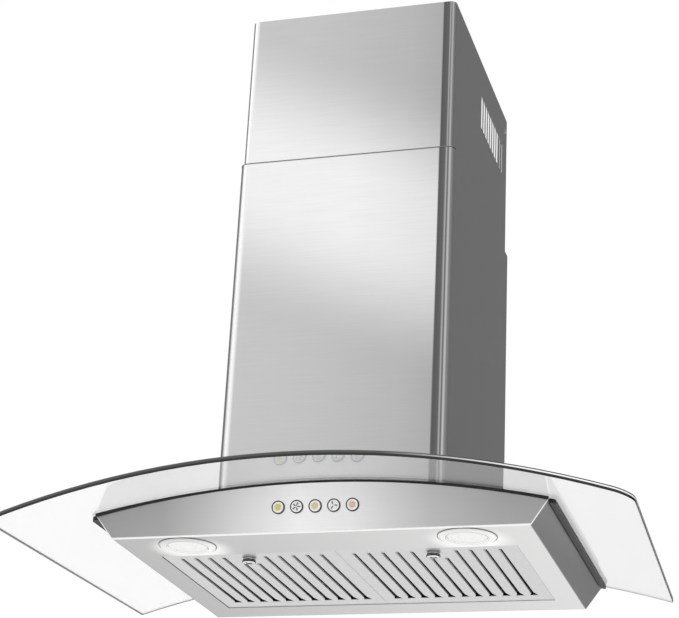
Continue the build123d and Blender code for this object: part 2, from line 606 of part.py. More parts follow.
with BuildPart() as control_lid:
    with BuildSketch(CONTROL_PLANE.offset(CONTROL_DEPTH)):
        with Locations((0, CONTROL_MIDDLE_Z)):
            RectangleRounded(2 * CONTROL_HALF_WIDTH, CONTROL_HEIGHT, CONTROL_WALL)
    extrude(amount=CONTROL_WALL)
finish_piece(control_lid, "control_lid")

BOARD_THICKNESS = 1.6
BOARD_STANDOFF = 5.0
BOARD_WIDTH = 76.0
BOARD_HEIGHT = 50.0
BOARD_X = -14.0
BOARD_RISE = 32.0
BOARD_Z = CONTROL_LOW + BOARD_RISE
POST_EDGE = 8.0
POST_RADIUS = 2.0
with BuildPart() as control_board:
    with BuildSketch(CONTROL_PLANE.offset(CONTROL_WALL + BOARD_STANDOFF)):
        with Locations((BOARD_X, BOARD_Z)):
            Rectangle(BOARD_WIDTH, BOARD_HEIGHT)
    extrude(amount=BOARD_THICKNESS)
    with BuildSketch(CONTROL_PLANE.offset(CONTROL_WALL)):
        with Locations((BOARD_X, BOARD_Z)):
            with GridLocations(BOARD_WIDTH - POST_EDGE, BOARD_HEIGHT - POST_EDGE, 2, 2):
                Circle(POST_RADIUS)
    extrude(amount=BOARD_STANDOFF)
finish_piece(control_board, "control_board")

CAPACITOR_RADIUS = 12.0
CAPACITOR_LENGTH = 46.0
CAPACITOR_GAP = 4.0
with BuildPart() as run_capacitor:
    with BuildSketch(Plane.XY.offset(CONTROL_LOW + CONTROL_WALL)):
        with Locations((CONTROL_HALF_WIDTH - CONTROL_WALL - CAPACITOR_RADIUS - CAPACITOR_GAP, GLAND_Y)):
            Circle(CAPACITOR_RADIUS)
    extrude(amount=CAPACITOR_LENGTH)
    fillet(run_capacitor.edges().group_by(Axis.Z)[-1], CONTROL_WALL)
finish_piece(run_capacitor, "run_capacitor")

TERMINAL_WAYS = 3
TERMINAL_PITCH = 10.0
TERMINAL_DEPTH = 12.0
TERMINAL_HEIGHT = 16.0
TERMINAL_X = -30.0
TERMINAL_Z = CONTROL_HIGH - CONTROL_WALL - TERMINAL_HEIGHT
with BuildPart() as terminal_block:
    with BuildSketch(CONTROL_PLANE.offset(CONTROL_WALL)):
        with Locations((TERMINAL_X, TERMINAL_Z)):
            Rectangle(TERMINAL_WAYS * TERMINAL_PITCH, TERMINAL_HEIGHT)
    extrude(amount=TERMINAL_DEPTH)
    with BuildSketch(CONTROL_PLANE.offset(CONTROL_WALL + TERMINAL_DEPTH)):
        with Locations((TERMINAL_X, TERMINAL_Z)):
            with GridLocations(TERMINAL_PITCH, TERMINAL_HEIGHT / 2, TERMINAL_WAYS, 2):
                Circle(TERMINAL_PITCH / 4)
    extrude(amount=-TERMINAL_DEPTH / 3, mode=Mode.SUBTRACT)
finish_piece(terminal_block, "terminal_block")

GLAND_BORE_RADIUS = 3.5
GLAND_TAIL = 5.0
GLAND_NUT_RADIUS = 10.0
GLAND_NUT_HEIGHT = 6.0
GLAND_TOP_HEIGHT = 9.0
GLAND_TAPER = 12.0
with BuildPart() as cable_gland:
    with BuildSketch(Plane.XY.offset(CONTROL_HIGH - CONTROL_WALL - GLAND_TAIL)):
        with Locations((GLAND_X, GLAND_Y)):
            Circle(GLAND_HOLE_RADIUS)
    extrude(amount=CONTROL_WALL + GLAND_TAIL)
    with BuildSketch(Plane.XY.offset(CONTROL_HIGH)):
        with Locations((GLAND_X, GLAND_Y)):
            RegularPolygon(GLAND_NUT_RADIUS, 6)
    extrude(amount=GLAND_NUT_HEIGHT)
    with BuildSketch(Plane.XY.offset(CONTROL_HIGH + GLAND_NUT_HEIGHT)):
        with Locations((GLAND_X, GLAND_Y)):
            Circle(GLAND_RADIUS)
    extrude(amount=GLAND_TOP_HEIGHT, taper=GLAND_TAPER)
    with BuildSketch(Plane.XY.offset(CONTROL_HIGH - CONTROL_WALL - GLAND_TAIL)):
        with Locations((GLAND_X, GLAND_Y)):
            Circle(GLAND_BORE_RADIUS)
    extrude(amount=TALL, mode=Mode.SUBTRACT)
finish_piece(cable_gland, "cable_gland")

# ---------------------------------------------------------------- duct collar and its two damper flaps
COLLAR_WALL = 1.0
COLLAR_FLANGE_RADIUS = 90.0
COLLAR_LOW = BLOWER_BOX_TOP + SHEET
COLLAR_TOP = 320.0
COLLAR_FOOT = 0.8            # thickness of the foot
COLLAR_FOOT_WIDTH = 5.0      # how far the foot stands out from the wall
COLLAR_ROOT = 2.5            # radius between foot and wall
DAMPER_RISE = 22.0
DAMPER_Z = BLOWER_BOX_TOP + DAMPER_RISE
DAMPER_PIN_RADIUS = 2.0
with BuildPart() as collar_flange:
    with BuildSketch(Plane.XY.offset(BLOWER_BOX_TOP)):
        with Locations((0, DUCT_Y)):
            Circle(COLLAR_FLANGE_RADIUS)
            Circle(DUCT_RADIUS - COLLAR_WALL, mode=Mode.SUBTRACT)
    extrude(amount=SHEET)
finish_piece(collar_flange, "collar_flange")

# the collar stands on the flange on a turned-out foot, with a root radius between foot and wall
with BuildPart() as duct_collar:
    with BuildSketch(Plane.XY.offset(COLLAR_LOW)):
        with Locations((0, DUCT_Y)):
            Circle(DUCT_RADIUS + COLLAR_FOOT_WIDTH)
    extrude(amount=COLLAR_FOOT)
    with BuildSketch(Plane.XY.offset(COLLAR_LOW)):
        with Locations((0, DUCT_Y)):
            Circle(DUCT_RADIUS)
    extrude(amount=COLLAR_TOP - COLLAR_LOW)
    foot_edges = duct_collar.edges().filter_by(GeomType.CIRCLE).group_by(Axis.Z)[1]
    fillet(foot_edges.sort_by(SortBy.RADIUS)[0], radius=COLLAR_ROOT)
    with BuildSketch(Plane.XY.offset(COLLAR_LOW)):
        with Locations((0, DUCT_Y)):
            Circle(DUCT_RADIUS - COLLAR_WALL)
    extrude(amount=COLLAR_TOP - COLLAR_LOW, mode=Mode.SUBTRACT)
    with BuildSketch(Plane.XZ.offset(-DUCT_Y)):
        with Locations((0, DAMPER_Z)):
            Circle(DAMPER_PIN_RADIUS)
    extrude(amount=DUCT_RADIUS + COLLAR_FOOT_WIDTH, both=True, mode=Mode.SUBTRACT)
finish_piece(duct_collar, "duct_collar")

with BuildPart() as damper_pin:
    with BuildSketch(Plane.XZ.offset(-DUCT_Y)):
        with Locations((0, DAMPER_Z)):
            Circle(DAMPER_PIN_RADIUS)
    extrude(amount=DUCT_RADIUS, both=True)
finish_piece(damper_pin, "damper_pin")

FLAP_RADIUS = 72.0
FLAP_THICKNESS = 1.0
FLAP_EDGE = 4.4              # a flap's straight edge, from the pin's axis
KNUCKLE_RADIUS = 3.6
KNUCKLE_CLEARANCE = 0.08
KNUCKLE_LENGTH = 40.0
KNUCKLE_START = 4.0
TONGUE_GAP = 1.0
for side, sign in SIDES:
    with BuildPart() as damper_flap:
        with BuildSketch(Plane.XY.offset(DAMPER_Z - FLAP_THICKNESS / 2)):
            with Locations((0, DUCT_Y)):
                Circle(FLAP_RADIUS)
                with Locations((sign * (FLAP_EDGE + FLAP_RADIUS), 0)):
                    Rectangle(2 * FLAP_RADIUS, 2 * FLAP_RADIUS, mode=Mode.INTERSECT)
                # a tongue joins the flap to its knuckle
                with Locations((sign * FLAP_EDGE, sign * (KNUCKLE_START + KNUCKLE_LENGTH / 2))):
                    Rectangle(2 * (FLAP_EDGE - DAMPER_PIN_RADIUS) - TONGUE_GAP, KNUCKLE_LENGTH)
        extrude(amount=FLAP_THICKNESS)
        with BuildSketch(Plane.XZ.offset(-DUCT_Y - sign * KNUCKLE_START)):
            with Locations((0, DAMPER_Z)):
                Circle(KNUCKLE_RADIUS)
        extrude(amount=-sign * KNUCKLE_LENGTH)
        with BuildSketch(Plane.XZ.offset(-DUCT_Y)):
            with Locations((0, DAMPER_Z)):
                Circle(DAMPER_PIN_RADIUS + KNUCKLE_CLEARANCE)
        extrude(amount=DUCT_RADIUS, both=True, mode=Mode.SUBTRACT)
    finish_piece(damper_flap, f"damper_flap_{side}")

# ---------------------------------------------------------------- grease filters
FILTER_LOW = 0.8
FILTER_HEIGHT = 10.4
FILTER_SKIN = 0.8
FILTER_GAP = 0.8             # between a filter and the opening
FILTER_INNER_X = 0.2         # half of the gap between the filters
FILTER_OUTER_X = FILTER_OPENING_WIDTH / 2 - FILTER_GAP
FILTER_FRONT = FILTER_OPENING_FRONT + FILTER_GAP
FILTER_REAR = FILTER_OPENING_REAR - FILTER_GAP
FILTER_WIDTH = FILTER_OUTER_X - FILTER_INNER_X
FILTER_DEPTH = FILTER_REAR - FILTER_FRONT
FILTER_X = (FILTER_OUTER_X + FILTER_INNER_X) / 2
FILTER_Y = (FILTER_FRONT + FILTER_REAR) / 2
SLOT_COUNT = 11
SLOT_PITCH = 17.9
SLOT_FIRST_X = 20.5
SLOT_WIDTH = 3.4             # at the slot's neck, before its foot
SLOT_TIP_WIDTH = 2.2         # at the slot's front end
SLOT_FOOT_WIDTH = 11.0       # at the slot's rear end
SLOT_FOOT_LENGTH = 14.0
SLOT_REAR = -74.0
SLOT_FRONT = -289.0
SLOT_SHORT_FRONT = -258.0    # the slots behind the latch stop here
LIP_WIDTH = 1.3
LIP_DROP = 1.4
LATCH_TRAVEL = 7.0
STEM_RADIUS = 3.0
STEM_SLOT_CLEARANCE = 0.4
BOLT_SLOT_PLAY = 0.6
SHORT_SLOT_REACH = 1.2       # in slot pitches, to either side of the latch


def slot_front(x):
    """Where the slot at x stops towards the front, leaving room for the latch."""
    return SLOT_SHORT_FRONT if abs(x - LATCH_X) < SLOT_PITCH * SHORT_SLOT_REACH else SLOT_FRONT


SLOT_XS = [SLOT_FIRST_X + SLOT_PITCH * index for index in range(SLOT_COUNT)]
for side, sign in SIDES:
    with BuildPart() as filter_tray:
        with BuildSketch(Plane.XY.offset(FILTER_LOW)):
            with Locations((sign * FILTER_X, FILTER_Y)):
                Rectangle(FILTER_WIDTH, FILTER_DEPTH)
        extrude(amount=FILTER_HEIGHT)
        with BuildSketch(Plane.XY.offset(FILTER_LOW + FILTER_SKIN)):
            with Locations((sign * FILTER_X, FILTER_Y)):
                Rectangle(FILTER_WIDTH - 2 * FILTER_SKIN, FILTER_DEPTH - 2 * FILTER_SKIN)
        extrude(amount=FILTER_HEIGHT, mode=Mode.SUBTRACT)
        # a lip hangs beside each slot
        with BuildSketch(Plane.XY.offset(FILTER_LOW - LIP_DROP)):
            for x in SLOT_XS:
                lip_x = sign * x - (SLOT_WIDTH + LIP_WIDTH) / 2
                with Locations((lip_x, (slot_front(x) + SLOT_REAR) / 2)):
                    Rectangle(LIP_WIDTH, SLOT_REAR - slot_front(x))
        extrude(amount=LIP_DROP + FILTER_SKIN / 2)
        with BuildSketch(Plane.XY.offset(FILTER_LOW - LIP_DROP)):
            for x in SLOT_XS:
                with BuildLine():
                    Polyline(
                        (sign * x - SLOT_TIP_WIDTH / 2, slot_front(x)),
                        (sign * x + SLOT_TIP_WIDTH / 2, slot_front(x)),
                        (sign * x + SLOT_WIDTH / 2, SLOT_REAR - SLOT_FOOT_LENGTH),
                        (sign * x + SLOT_FOOT_WIDTH / 2, SLOT_REAR),
                        (sign * x - SLOT_FOOT_WIDTH / 2, SLOT_REAR),
                        (sign * x - SLOT_WIDTH / 2, SLOT_REAR - SLOT_FOOT_LENGTH),
                        close=True,
                    )
                make_face()
            with Locations((sign * LATCH_X, LATCH_Y + LATCH_TRAVEL / 2)):
                SlotCenterToCenter(LATCH_TRAVEL, 2 * (STEM_RADIUS + STEM_SLOT_CLEARANCE), rotation=90)
        extrude(amount=LIP_DROP + 2 * FILTER_SKIN, mode=Mode.SUBTRACT)
        # the bolt passes through the tray's front wall
        with BuildSketch(Plane.XZ.offset(-FILTER_FRONT)):
            with Locations((sign * LATCH_X, BOLT_LOW + BOLT_THICKNESS / 2)):
                Rectangle(BOLT_WIDTH + KEEPER_CLEARANCE, BOLT_THICKNESS + BOLT_SLOT_PLAY)
        extrude(amount=-2 * FILTER_SKIN, mode=Mode.SUBTRACT)
    finish_piece(filter_tray, f"filter_tray_{side}")

MESH_LOW = 4.6
MESH_THICKNESS = 5.0
for side, sign in SIDES:
    with BuildPart() as filter_mesh:
        with BuildSketch(Plane.XY.offset(MESH_LOW)):
            with Locations((sign * FILTER_X, FILTER_Y)):
                Rectangle(FILTER_WIDTH - 2 * FILTER_SKIN, FILTER_DEPTH - 2 * FILTER_SKIN)
        extrude(amount=MESH_THICKNESS)
    finish_piece(filter_mesh, f"filter_mesh_{side}")

KNOB_RADIUS = 8.0
KNOB_LOW = -4.6
KNOB_HEAD = 2.6
KNOB_NECK_RADIUS = 6.8
KNOB_CLEARANCE = 0.3
BOLT_FRONT = FILTER_FRONT - FILTER_GAP / 2
BOLT_TAIL = 12.0             # behind the knob's axis
BOLT_REAR = LATCH_Y + BOLT_TAIL
for side, sign in SIDES:
    with BuildPart() as latch_knob:
        with BuildSketch(Plane.XY.offset(KNOB_LOW)):
            with Locations((sign * LATCH_X, LATCH_Y)):
                Circle(KNOB_RADIUS)
        extrude(amount=KNOB_HEAD)
        fillet(latch_knob.edges().group_by(Axis.Z)[0], KNOB_HEAD / 3)
        with BuildSketch(Plane.XY.offset(KNOB_LOW + KNOB_HEAD)):
            with Locations((sign * LATCH_X, LATCH_Y)):
                Circle(KNOB_NECK_RADIUS)
        extrude(amount=FILTER_LOW - KNOB_CLEARANCE - KNOB_LOW - KNOB_HEAD)
        with BuildSketch(Plane.XY.offset(FILTER_LOW - KNOB_CLEARANCE)):
            with Locations((sign * LATCH_X, LATCH_Y)):
                Circle(STEM_RADIUS)
        extrude(amount=BOLT_LOW - FILTER_LOW + KNOB_CLEARANCE)
    finish_piece(latch_knob, f"latch_knob_{side}")
    with BuildPart() as latch_bolt:
        with BuildSketch(Plane.XY.offset(BOLT_LOW)):
            with Locations((sign * LATCH_X, (BOLT_FRONT + BOLT_REAR) / 2)):
                Rectangle(BOLT_WIDTH, BOLT_REAR - BOLT_FRONT)
        extrude(amount=BOLT_THICKNESS)
    finish_piece(latch_bolt, f"latch_bolt_{side}")

# ---------------------------------------------------------------- lamps
BEZEL_RADIUS = 34.5
BEZEL_DROP = 2.2
LENS_RADIUS = 24.0
LENS_THICKNESS = 3.0
BEZEL_CHAMFER = 0.8          # as a part of the drop
CAN_TAPER = 8.0
CLIP_CLEARANCE = 0.1
SLEEVE_RADIUS = 28.6
SLEEVE_HEIGHT = 10.0
CAN_RADIUS = 28.6
CAN_TOP = 34.0
CAN_WALL = 1.2
CLIP_WIDTH = 8.0
CLIP_REACH = 11.0
for side, sign in SIDES:
    lamp_x = sign * LAMP_X
    with BuildPart() as lamp_bezel:
        with BuildSketch(Plane.XY.offset(-BEZEL_DROP)):
            with Locations((lamp_x, LAMP_Y)):
                Circle(BEZEL_RADIUS)
        extrude(amount=BEZEL_DROP)
        chamfer(lamp_bezel.edges().group_by(Axis.Z)[0], BEZEL_DROP * BEZEL_CHAMFER)
        with BuildSketch(Plane.XY):
            with Locations((lamp_x, LAMP_Y)):
                Circle(SLEEVE_RADIUS)
        extrude(amount=SLEEVE_HEIGHT)
        with BuildSketch(Plane.XY.offset(-BEZEL_DROP)):
            with Locations((lamp_x, LAMP_Y)):
                Circle(LENS_RADIUS)
        extrude(amount=BEZEL_DROP + SLEEVE_HEIGHT, mode=Mode.SUBTRACT)
    finish_piece(lamp_bezel, f"lamp_bezel_{side}")
    with BuildPart() as lamp_lens:
        with BuildSketch(Plane.XY.offset(-BEZEL_DROP / 2)):
            with Locations((lamp_x, LAMP_Y)):
                Circle(LENS_RADIUS)
        extrude(amount=LENS_THICKNESS)
        fillet(lamp_lens.edges().group_by(Axis.Z)[0], BEZEL_DROP / 2)
    finish_piece(lamp_lens, f"lamp_lens_{side}")
    with BuildPart() as lamp_can:
        with BuildSketch(Plane.XY.offset(SLEEVE_HEIGHT)):
            with Locations((lamp_x, LAMP_Y)):
                Circle(CAN_RADIUS)
        extrude(amount=CAN_TOP - SLEEVE_HEIGHT, taper=CAN_TAPER)
        with BuildSketch(Plane.XY.offset(SLEEVE_HEIGHT)):
            with Locations((lamp_x, LAMP_Y)):
                Circle(CAN_RADIUS - CAN_WALL)
        extrude(amount=CAN_TOP - SLEEVE_HEIGHT - CAN_WALL, taper=CAN_TAPER, mode=Mode.SUBTRACT)
    finish_piece(lamp_can, f"lamp_can_{side}")
    with BuildPart() as lamp_clips:
        with BuildSketch(Plane.XY.offset(SHEET)):
            with Locations((lamp_x, LAMP_Y)):
                with GridLocations(2 * (SLEEVE_RADIUS + CLIP_REACH / 2), 0, 2, 1):
                    Rectangle(CLIP_REACH, CLIP_WIDTH)
                Circle(SLEEVE_RADIUS + CLIP_CLEARANCE, mode=Mode.SUBTRACT)
        extrude(amount=SLEEVE_HEIGHT - SHEET)
        with BuildSketch(Plane.XY.offset(2 * SHEET)):
            with Locations((lamp_x, LAMP_Y)):
                with GridLocations(2 * (SLEEVE_RADIUS + SHEET + CLIP_REACH / 2), 0, 2, 1):
                    Rectangle(CLIP_REACH, CLIP_WIDTH)
        extrude(amount=SLEEVE_HEIGHT - SHEET, mode=Mode.SUBTRACT)
    finish_piece(lamp_clips, f"lamp_clips_{side}")

# ---------------------------------------------------------------- push buttons
BUTTON_RADIUS = 6.7
BUTTON_PROUD = 2.2
BUTTON_BACK = -6.0
BUTTON_TRAVEL = 1.5
BUTTON_STEM_RADIUS = 2.4
BUTTON_STEM_BACK = -12.0
BEZEL_RING_RADIUS = 7.9
BEZEL_RING_PROUD = 1.5
BEZEL_BORE_RADIUS = 6.9
BEZEL_SLEEVE_BACK = -5.0
SWITCH_FRONT = -8.0
SWITCH_DEPTH = 9.0
SWITCH_HEIGHT = 18.0
SWITCH_ENDS = 6.0
SWITCH_WIDTH = BUTTON_PITCH * BUTTON_COUNT + SWITCH_ENDS
STEM_PLAY = 0.2
for index in range(BUTTON_COUNT):
    button_x = (index - (BUTTON_COUNT - 1) / 2) * BUTTON_PITCH
    with BuildPart() as push_button:
        with BuildSketch(FRONT_PLANE.offset(BUTTON_BACK)):
            with Locations((button_x, BUTTON_HEIGHT)):
                Circle(BUTTON_RADIUS)
        extrude(amount=BUTTON_PROUD - BUTTON_BACK)
        chamfer(push_button.edges().filter_by(GeomType.CIRCLE).sort_by(Axis.Y)[0], BUTTON_PROUD / 4)
        with BuildSketch(FRONT_PLANE.offset(BUTTON_BACK)):
            with Locations((button_x, BUTTON_HEIGHT)):
                Circle(BUTTON_STEM_RADIUS)
        extrude(amount=BUTTON_STEM_BACK - BUTTON_BACK)
    finish_piece(push_button, f"push_button_{index + 1}")

with BuildPart() as button_bezels:
    with BuildSketch(FRONT_PLANE):
        with Locations((0, BUTTON_HEIGHT)):
            with GridLocations(BUTTON_PITCH, BUTTON_PITCH, BUTTON_COUNT, 1):
                Circle(BEZEL_RING_RADIUS)
    extrude(amount=BEZEL_RING_PROUD)
    with BuildSketch(FRONT_PLANE):
        with Locations((0, BUTTON_HEIGHT)):
            with GridLocations(BUTTON_PITCH, BUTTON_PITCH, BUTTON_COUNT, 1):
                Circle(BUTTON_HOLE_RADIUS)
    extrude(amount=BEZEL_SLEEVE_BACK)
    with BuildSketch(FRONT_PLANE.offset(BEZEL_RING_PROUD)):
        with Locations((0, BUTTON_HEIGHT)):
            with GridLocations(BUTTON_PITCH, BUTTON_PITCH, BUTTON_COUNT, 1):
                Circle(BEZEL_BORE_RADIUS)
    extrude(amount=BEZEL_SLEEVE_BACK - BEZEL_RING_PROUD, mode=Mode.SUBTRACT)
finish_piece(button_bezels, "button_bezels")

with BuildPart() as switch_block:
    with BuildSketch(FRONT_PLANE.offset(SWITCH_FRONT)):
        with Locations((0, BUTTON_HEIGHT)):
            Rectangle(SWITCH_WIDTH, SWITCH_HEIGHT)
    extrude(amount=-SWITCH_DEPTH)
    with BuildSketch(FRONT_PLANE.offset(SWITCH_FRONT)):
        with Locations((0, BUTTON_HEIGHT)):
            with GridLocations(BUTTON_PITCH, BUTTON_PITCH, BUTTON_COUNT, 1):
                Circle(BUTTON_STEM_RADIUS + STEM_PLAY)
    extrude(amount=-SWITCH_DEPTH + SHEET, mode=Mode.SUBTRACT)
finish_piece(switch_block, "switch_block")

# the switch bracket is a strap behind the block, with a foot at each end on the front panel
STRAP_BACK = SWITCH_FRONT - SWITCH_DEPTH
FOOT_WIDTH = 12.0
with BuildPart() as switch_bracket:
    with BuildSketch(FRONT_PLANE.offset(STRAP_BACK - SHEET)):
        with Locations((0, BUTTON_HEIGHT)):
            Rectangle(SWITCH_WIDTH + 2 * SHEET, SWITCH_HEIGHT)
    extrude(amount=SHEET)
    for _, sign in SIDES:
        with BuildSketch(FRONT_PLANE.offset(STRAP_BACK)):
            with Locations((sign * (SWITCH_WIDTH + SHEET) / 2, BUTTON_HEIGHT)):
                Rectangle(SHEET, SWITCH_HEIGHT)
        extrude(amount=-STRAP_BACK - SHEET)
        with BuildSketch(FRONT_PLANE.offset(-2 * SHEET)):
            with Locations((sign * (SWITCH_WIDTH + FOOT_WIDTH) / 2, BUTTON_HEIGHT)):
                Rectangle(FOOT_WIDTH, SWITCH_HEIGHT)
        extrude(amount=SHEET)
finish_piece(switch_bracket, "switch_bracket")

print("pieces written:", len(os.listdir("parts")))
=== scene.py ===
"""Looks for a chimney range hood with a bent glass canopy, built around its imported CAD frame.

Metres, in the CAD's own frame: +X right seen from the front, the front faces -Y, +Z up.
"""

import json
import logging
import math
from dataclasses import dataclass, field
from enum import Enum

import bmesh
import bpy
from mathutils import Matrix, Vector

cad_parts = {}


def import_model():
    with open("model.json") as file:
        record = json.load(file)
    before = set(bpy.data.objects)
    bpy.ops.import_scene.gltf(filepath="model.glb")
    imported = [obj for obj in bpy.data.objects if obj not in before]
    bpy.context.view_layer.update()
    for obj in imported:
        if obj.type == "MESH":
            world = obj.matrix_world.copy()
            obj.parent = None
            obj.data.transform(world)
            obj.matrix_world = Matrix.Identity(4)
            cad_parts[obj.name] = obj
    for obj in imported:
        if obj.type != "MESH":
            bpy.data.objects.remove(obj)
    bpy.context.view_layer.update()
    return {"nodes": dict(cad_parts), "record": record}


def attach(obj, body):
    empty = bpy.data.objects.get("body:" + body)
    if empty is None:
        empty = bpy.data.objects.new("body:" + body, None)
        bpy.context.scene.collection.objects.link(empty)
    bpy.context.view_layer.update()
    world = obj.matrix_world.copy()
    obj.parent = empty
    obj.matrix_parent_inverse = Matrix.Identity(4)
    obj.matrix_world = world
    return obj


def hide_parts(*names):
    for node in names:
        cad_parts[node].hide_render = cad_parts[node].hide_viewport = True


LOG = logging.getLogger("range_hood")
MM = 0.001
SIDES = (("left", -1.0), ("right", 1.0))

# Places shared by several sub-assemblies, in metres.
BODY_DEPTH = 0.388
FRONT_LEAN = math.radians(8.0)
GLASS_BEND_RADIUS = 1.262
GLASS_BEND_Z = -1.202
BUTTON_HEIGHT = 0.030
BUTTON_PITCH = 0.0226
CAP_PROUD = 0.0022


# ---------------------------------------------------------------- helpers
def linear(code: str, alpha: float = 1.0) -> tuple[float, float, float, float]:
    """Turn an sRGB hex code into linear red, green, blue and alpha.

    Args:
        code: Six hex digits, with or without a leading hash.
        alpha: The alpha to append.

    Returns:
        The linear colour.
    """
    digits = code.lstrip("#")
    levels = [int(digits[start:start + 2], 16) / 255 for start in (0, 2, 4)]
    red, green, blue = (v / 12.92 if v <= 0.04045 else ((v + 0.055) / 1.055) ** 2.4 for v in levels)
    return red, green, blue, alpha


def node(
    tree: bpy.types.NodeTree, kind: str, settings: dict | None = None, **links: object
) -> bpy.types.Node:
    """Add a shader node, set its properties and inputs, and link what feeds it.

    Args:
        tree: The node tree.
        kind: The node's type name, without "ShaderNode".
        settings: Node properties by name, input values by socket name or index, and a ramp's stops, each a
            position and a linear colour, under "stops".
        links: Output sockets or nodes by input name, as feed takes them.

    Returns:
        The new node.
    """
    made = tree.nodes.new(f"ShaderNode{kind}")
    for name, value in (settings or {}).items():
        if name == "stops":
            elements = made.color_ramp.elements
            while len(elements) < len(value):
                elements.new(1.0)
            for element, (position, colour) in zip(elements, value):
                element.position = position
                element.color = colour
        elif isinstance(name, str) and hasattr(made, name):
            setattr(made, name, value)
        else:
            made.inputs[name].default_value = value
    feed(tree, made, **links)
    return made


def feed(tree: bpy.types.NodeTree, made: bpy.types.Node, **links: object) -> None:
    """Link what feeds a node's inputs.

    Args:
        tree: The node tree.
        made: The node.
        links: Output sockets, or nodes for their first output, by input name, with underscores for spaces.
    """
    for name, source in links.items():
        key = int(name[1:]) if name[0] == "i" and name[1:].isdigit() else name.replace("_", " ")
        socket = source.outputs[0] if isinstance(source, bpy.types.Node) else source
        tree.links.new(socket, made.inputs[key])


def object_coords(
    tree: bpy.types.NodeTree, scale: tuple = (1, 1, 1), turn: tuple = (0, 0, 0), shift: tuple = (0, 0, 0)
) -> object:
    """Object coordinates through a Mapping node.

    Args:
        tree: The node tree.
        scale: Scale of each axis.
        turn: Rotation of each axis, in radians.
        shift: Offset of each axis, in the mapped space.

    Returns:
        The mapped vector's output socket.
    """
    coords = node(tree, "TexCoord")
    mapping = node(tree, "Mapping", {"Scale": scale, "Rotation": turn, "Location": shift},
                   Vector=coords.outputs["Object"])
    return mapping.outputs["Vector"]


def new_material(name: str) -> tuple[bpy.types.Material, bpy.types.NodeTree, bpy.types.Node]:
    """Make an empty node material with a Principled shader.

    Args:
        name: The material's name.

    Returns:
        The material, its tree and its Principled shader.
    """
    material = bpy.data.materials.new(name)
    material.use_nodes = True
    tree = material.node_tree
    tree.nodes.clear()
    shader = node(tree, "BsdfPrincipled")
    node(tree, "OutputMaterial", Surface=shader.outputs["BSDF"])
    return material, tree, shader


def finish_mesh(mesh: bmesh.types.BMesh, name: str, smooth_angle: float = 30.0) -> bpy.types.Object:
    """Close a bmesh into a piece at the origin, with its faces pointing out.

    Args:
        mesh: The finished bmesh, in the CAD frame. It is freed.
        name: The piece's name.
        smooth_angle: Edges sharper than this many degrees stay hard.

    Returns:
        The new object.
    """
    bmesh.ops.remove_doubles(mesh, verts=mesh.verts, dist=1e-6)
    bmesh.ops.recalc_face_normals(mesh, faces=mesh.faces)
    limit = math.radians(smooth_angle)
    for face in mesh.faces:
        face.smooth = True
    for edge in mesh.edges:
        edge.smooth = len(edge.link_faces) == 2 and edge.calc_face_angle(0.0) < limit
    data = bpy.data.meshes.new(name)
    mesh.to_mesh(data)
    mesh.free()
    piece = bpy.data.objects.new(name, data)
    bpy.context.scene.collection.objects.link(piece)
    return piece


def place(piece: bpy.types.Object, body: str, slot: str, material: bpy.types.Material, *nodes: str) -> None:
    """Dress a piece, let it ride on a body, and hide the CAD nodes it stands for.

    Args:
        piece: The piece.
        body: The CAD body it moves with.
        slot: The record's material slot; not used.
        material: Its material.
        nodes: CAD nodes that it replaces.
    """
    piece.data.materials.clear()
    piece.data.materials.append(material)
    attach(piece, body)
    if nodes:
        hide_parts(*nodes)
    LOG.info("piece %s rides on %s, %d faces", piece.name, body, len(piece.data.polygons))


# ---------------------------------------------------------------- finishes
class Grain(Enum):
    """Which way the scratches of a brushed face run, as metres of streak along X, Y and Z."""

    LEVEL_WALLS = (0.070, 0.070, 0.0016)
    ACROSS_PAN = (0.060, 0.0018, 0.060)


@dataclass(frozen=True)
class PaintedSheen:
    """A painted sheen: a soft slanting band of reflected light painted into a brushed cover's colour.

    Attributes:
        low: Height where the sheen starts, in millimetres.
        peak_low: Height where it is full.
        peak_high: Height where it starts to fade.
        high: Height where it has gone.
        slope: How far it drops for each millimetre to the right.
        colour: The painted sheen's sRGB colour.
    """

    low: float
    peak_low: float
    peak_high: float
    high: float
    slope: float
    colour: str


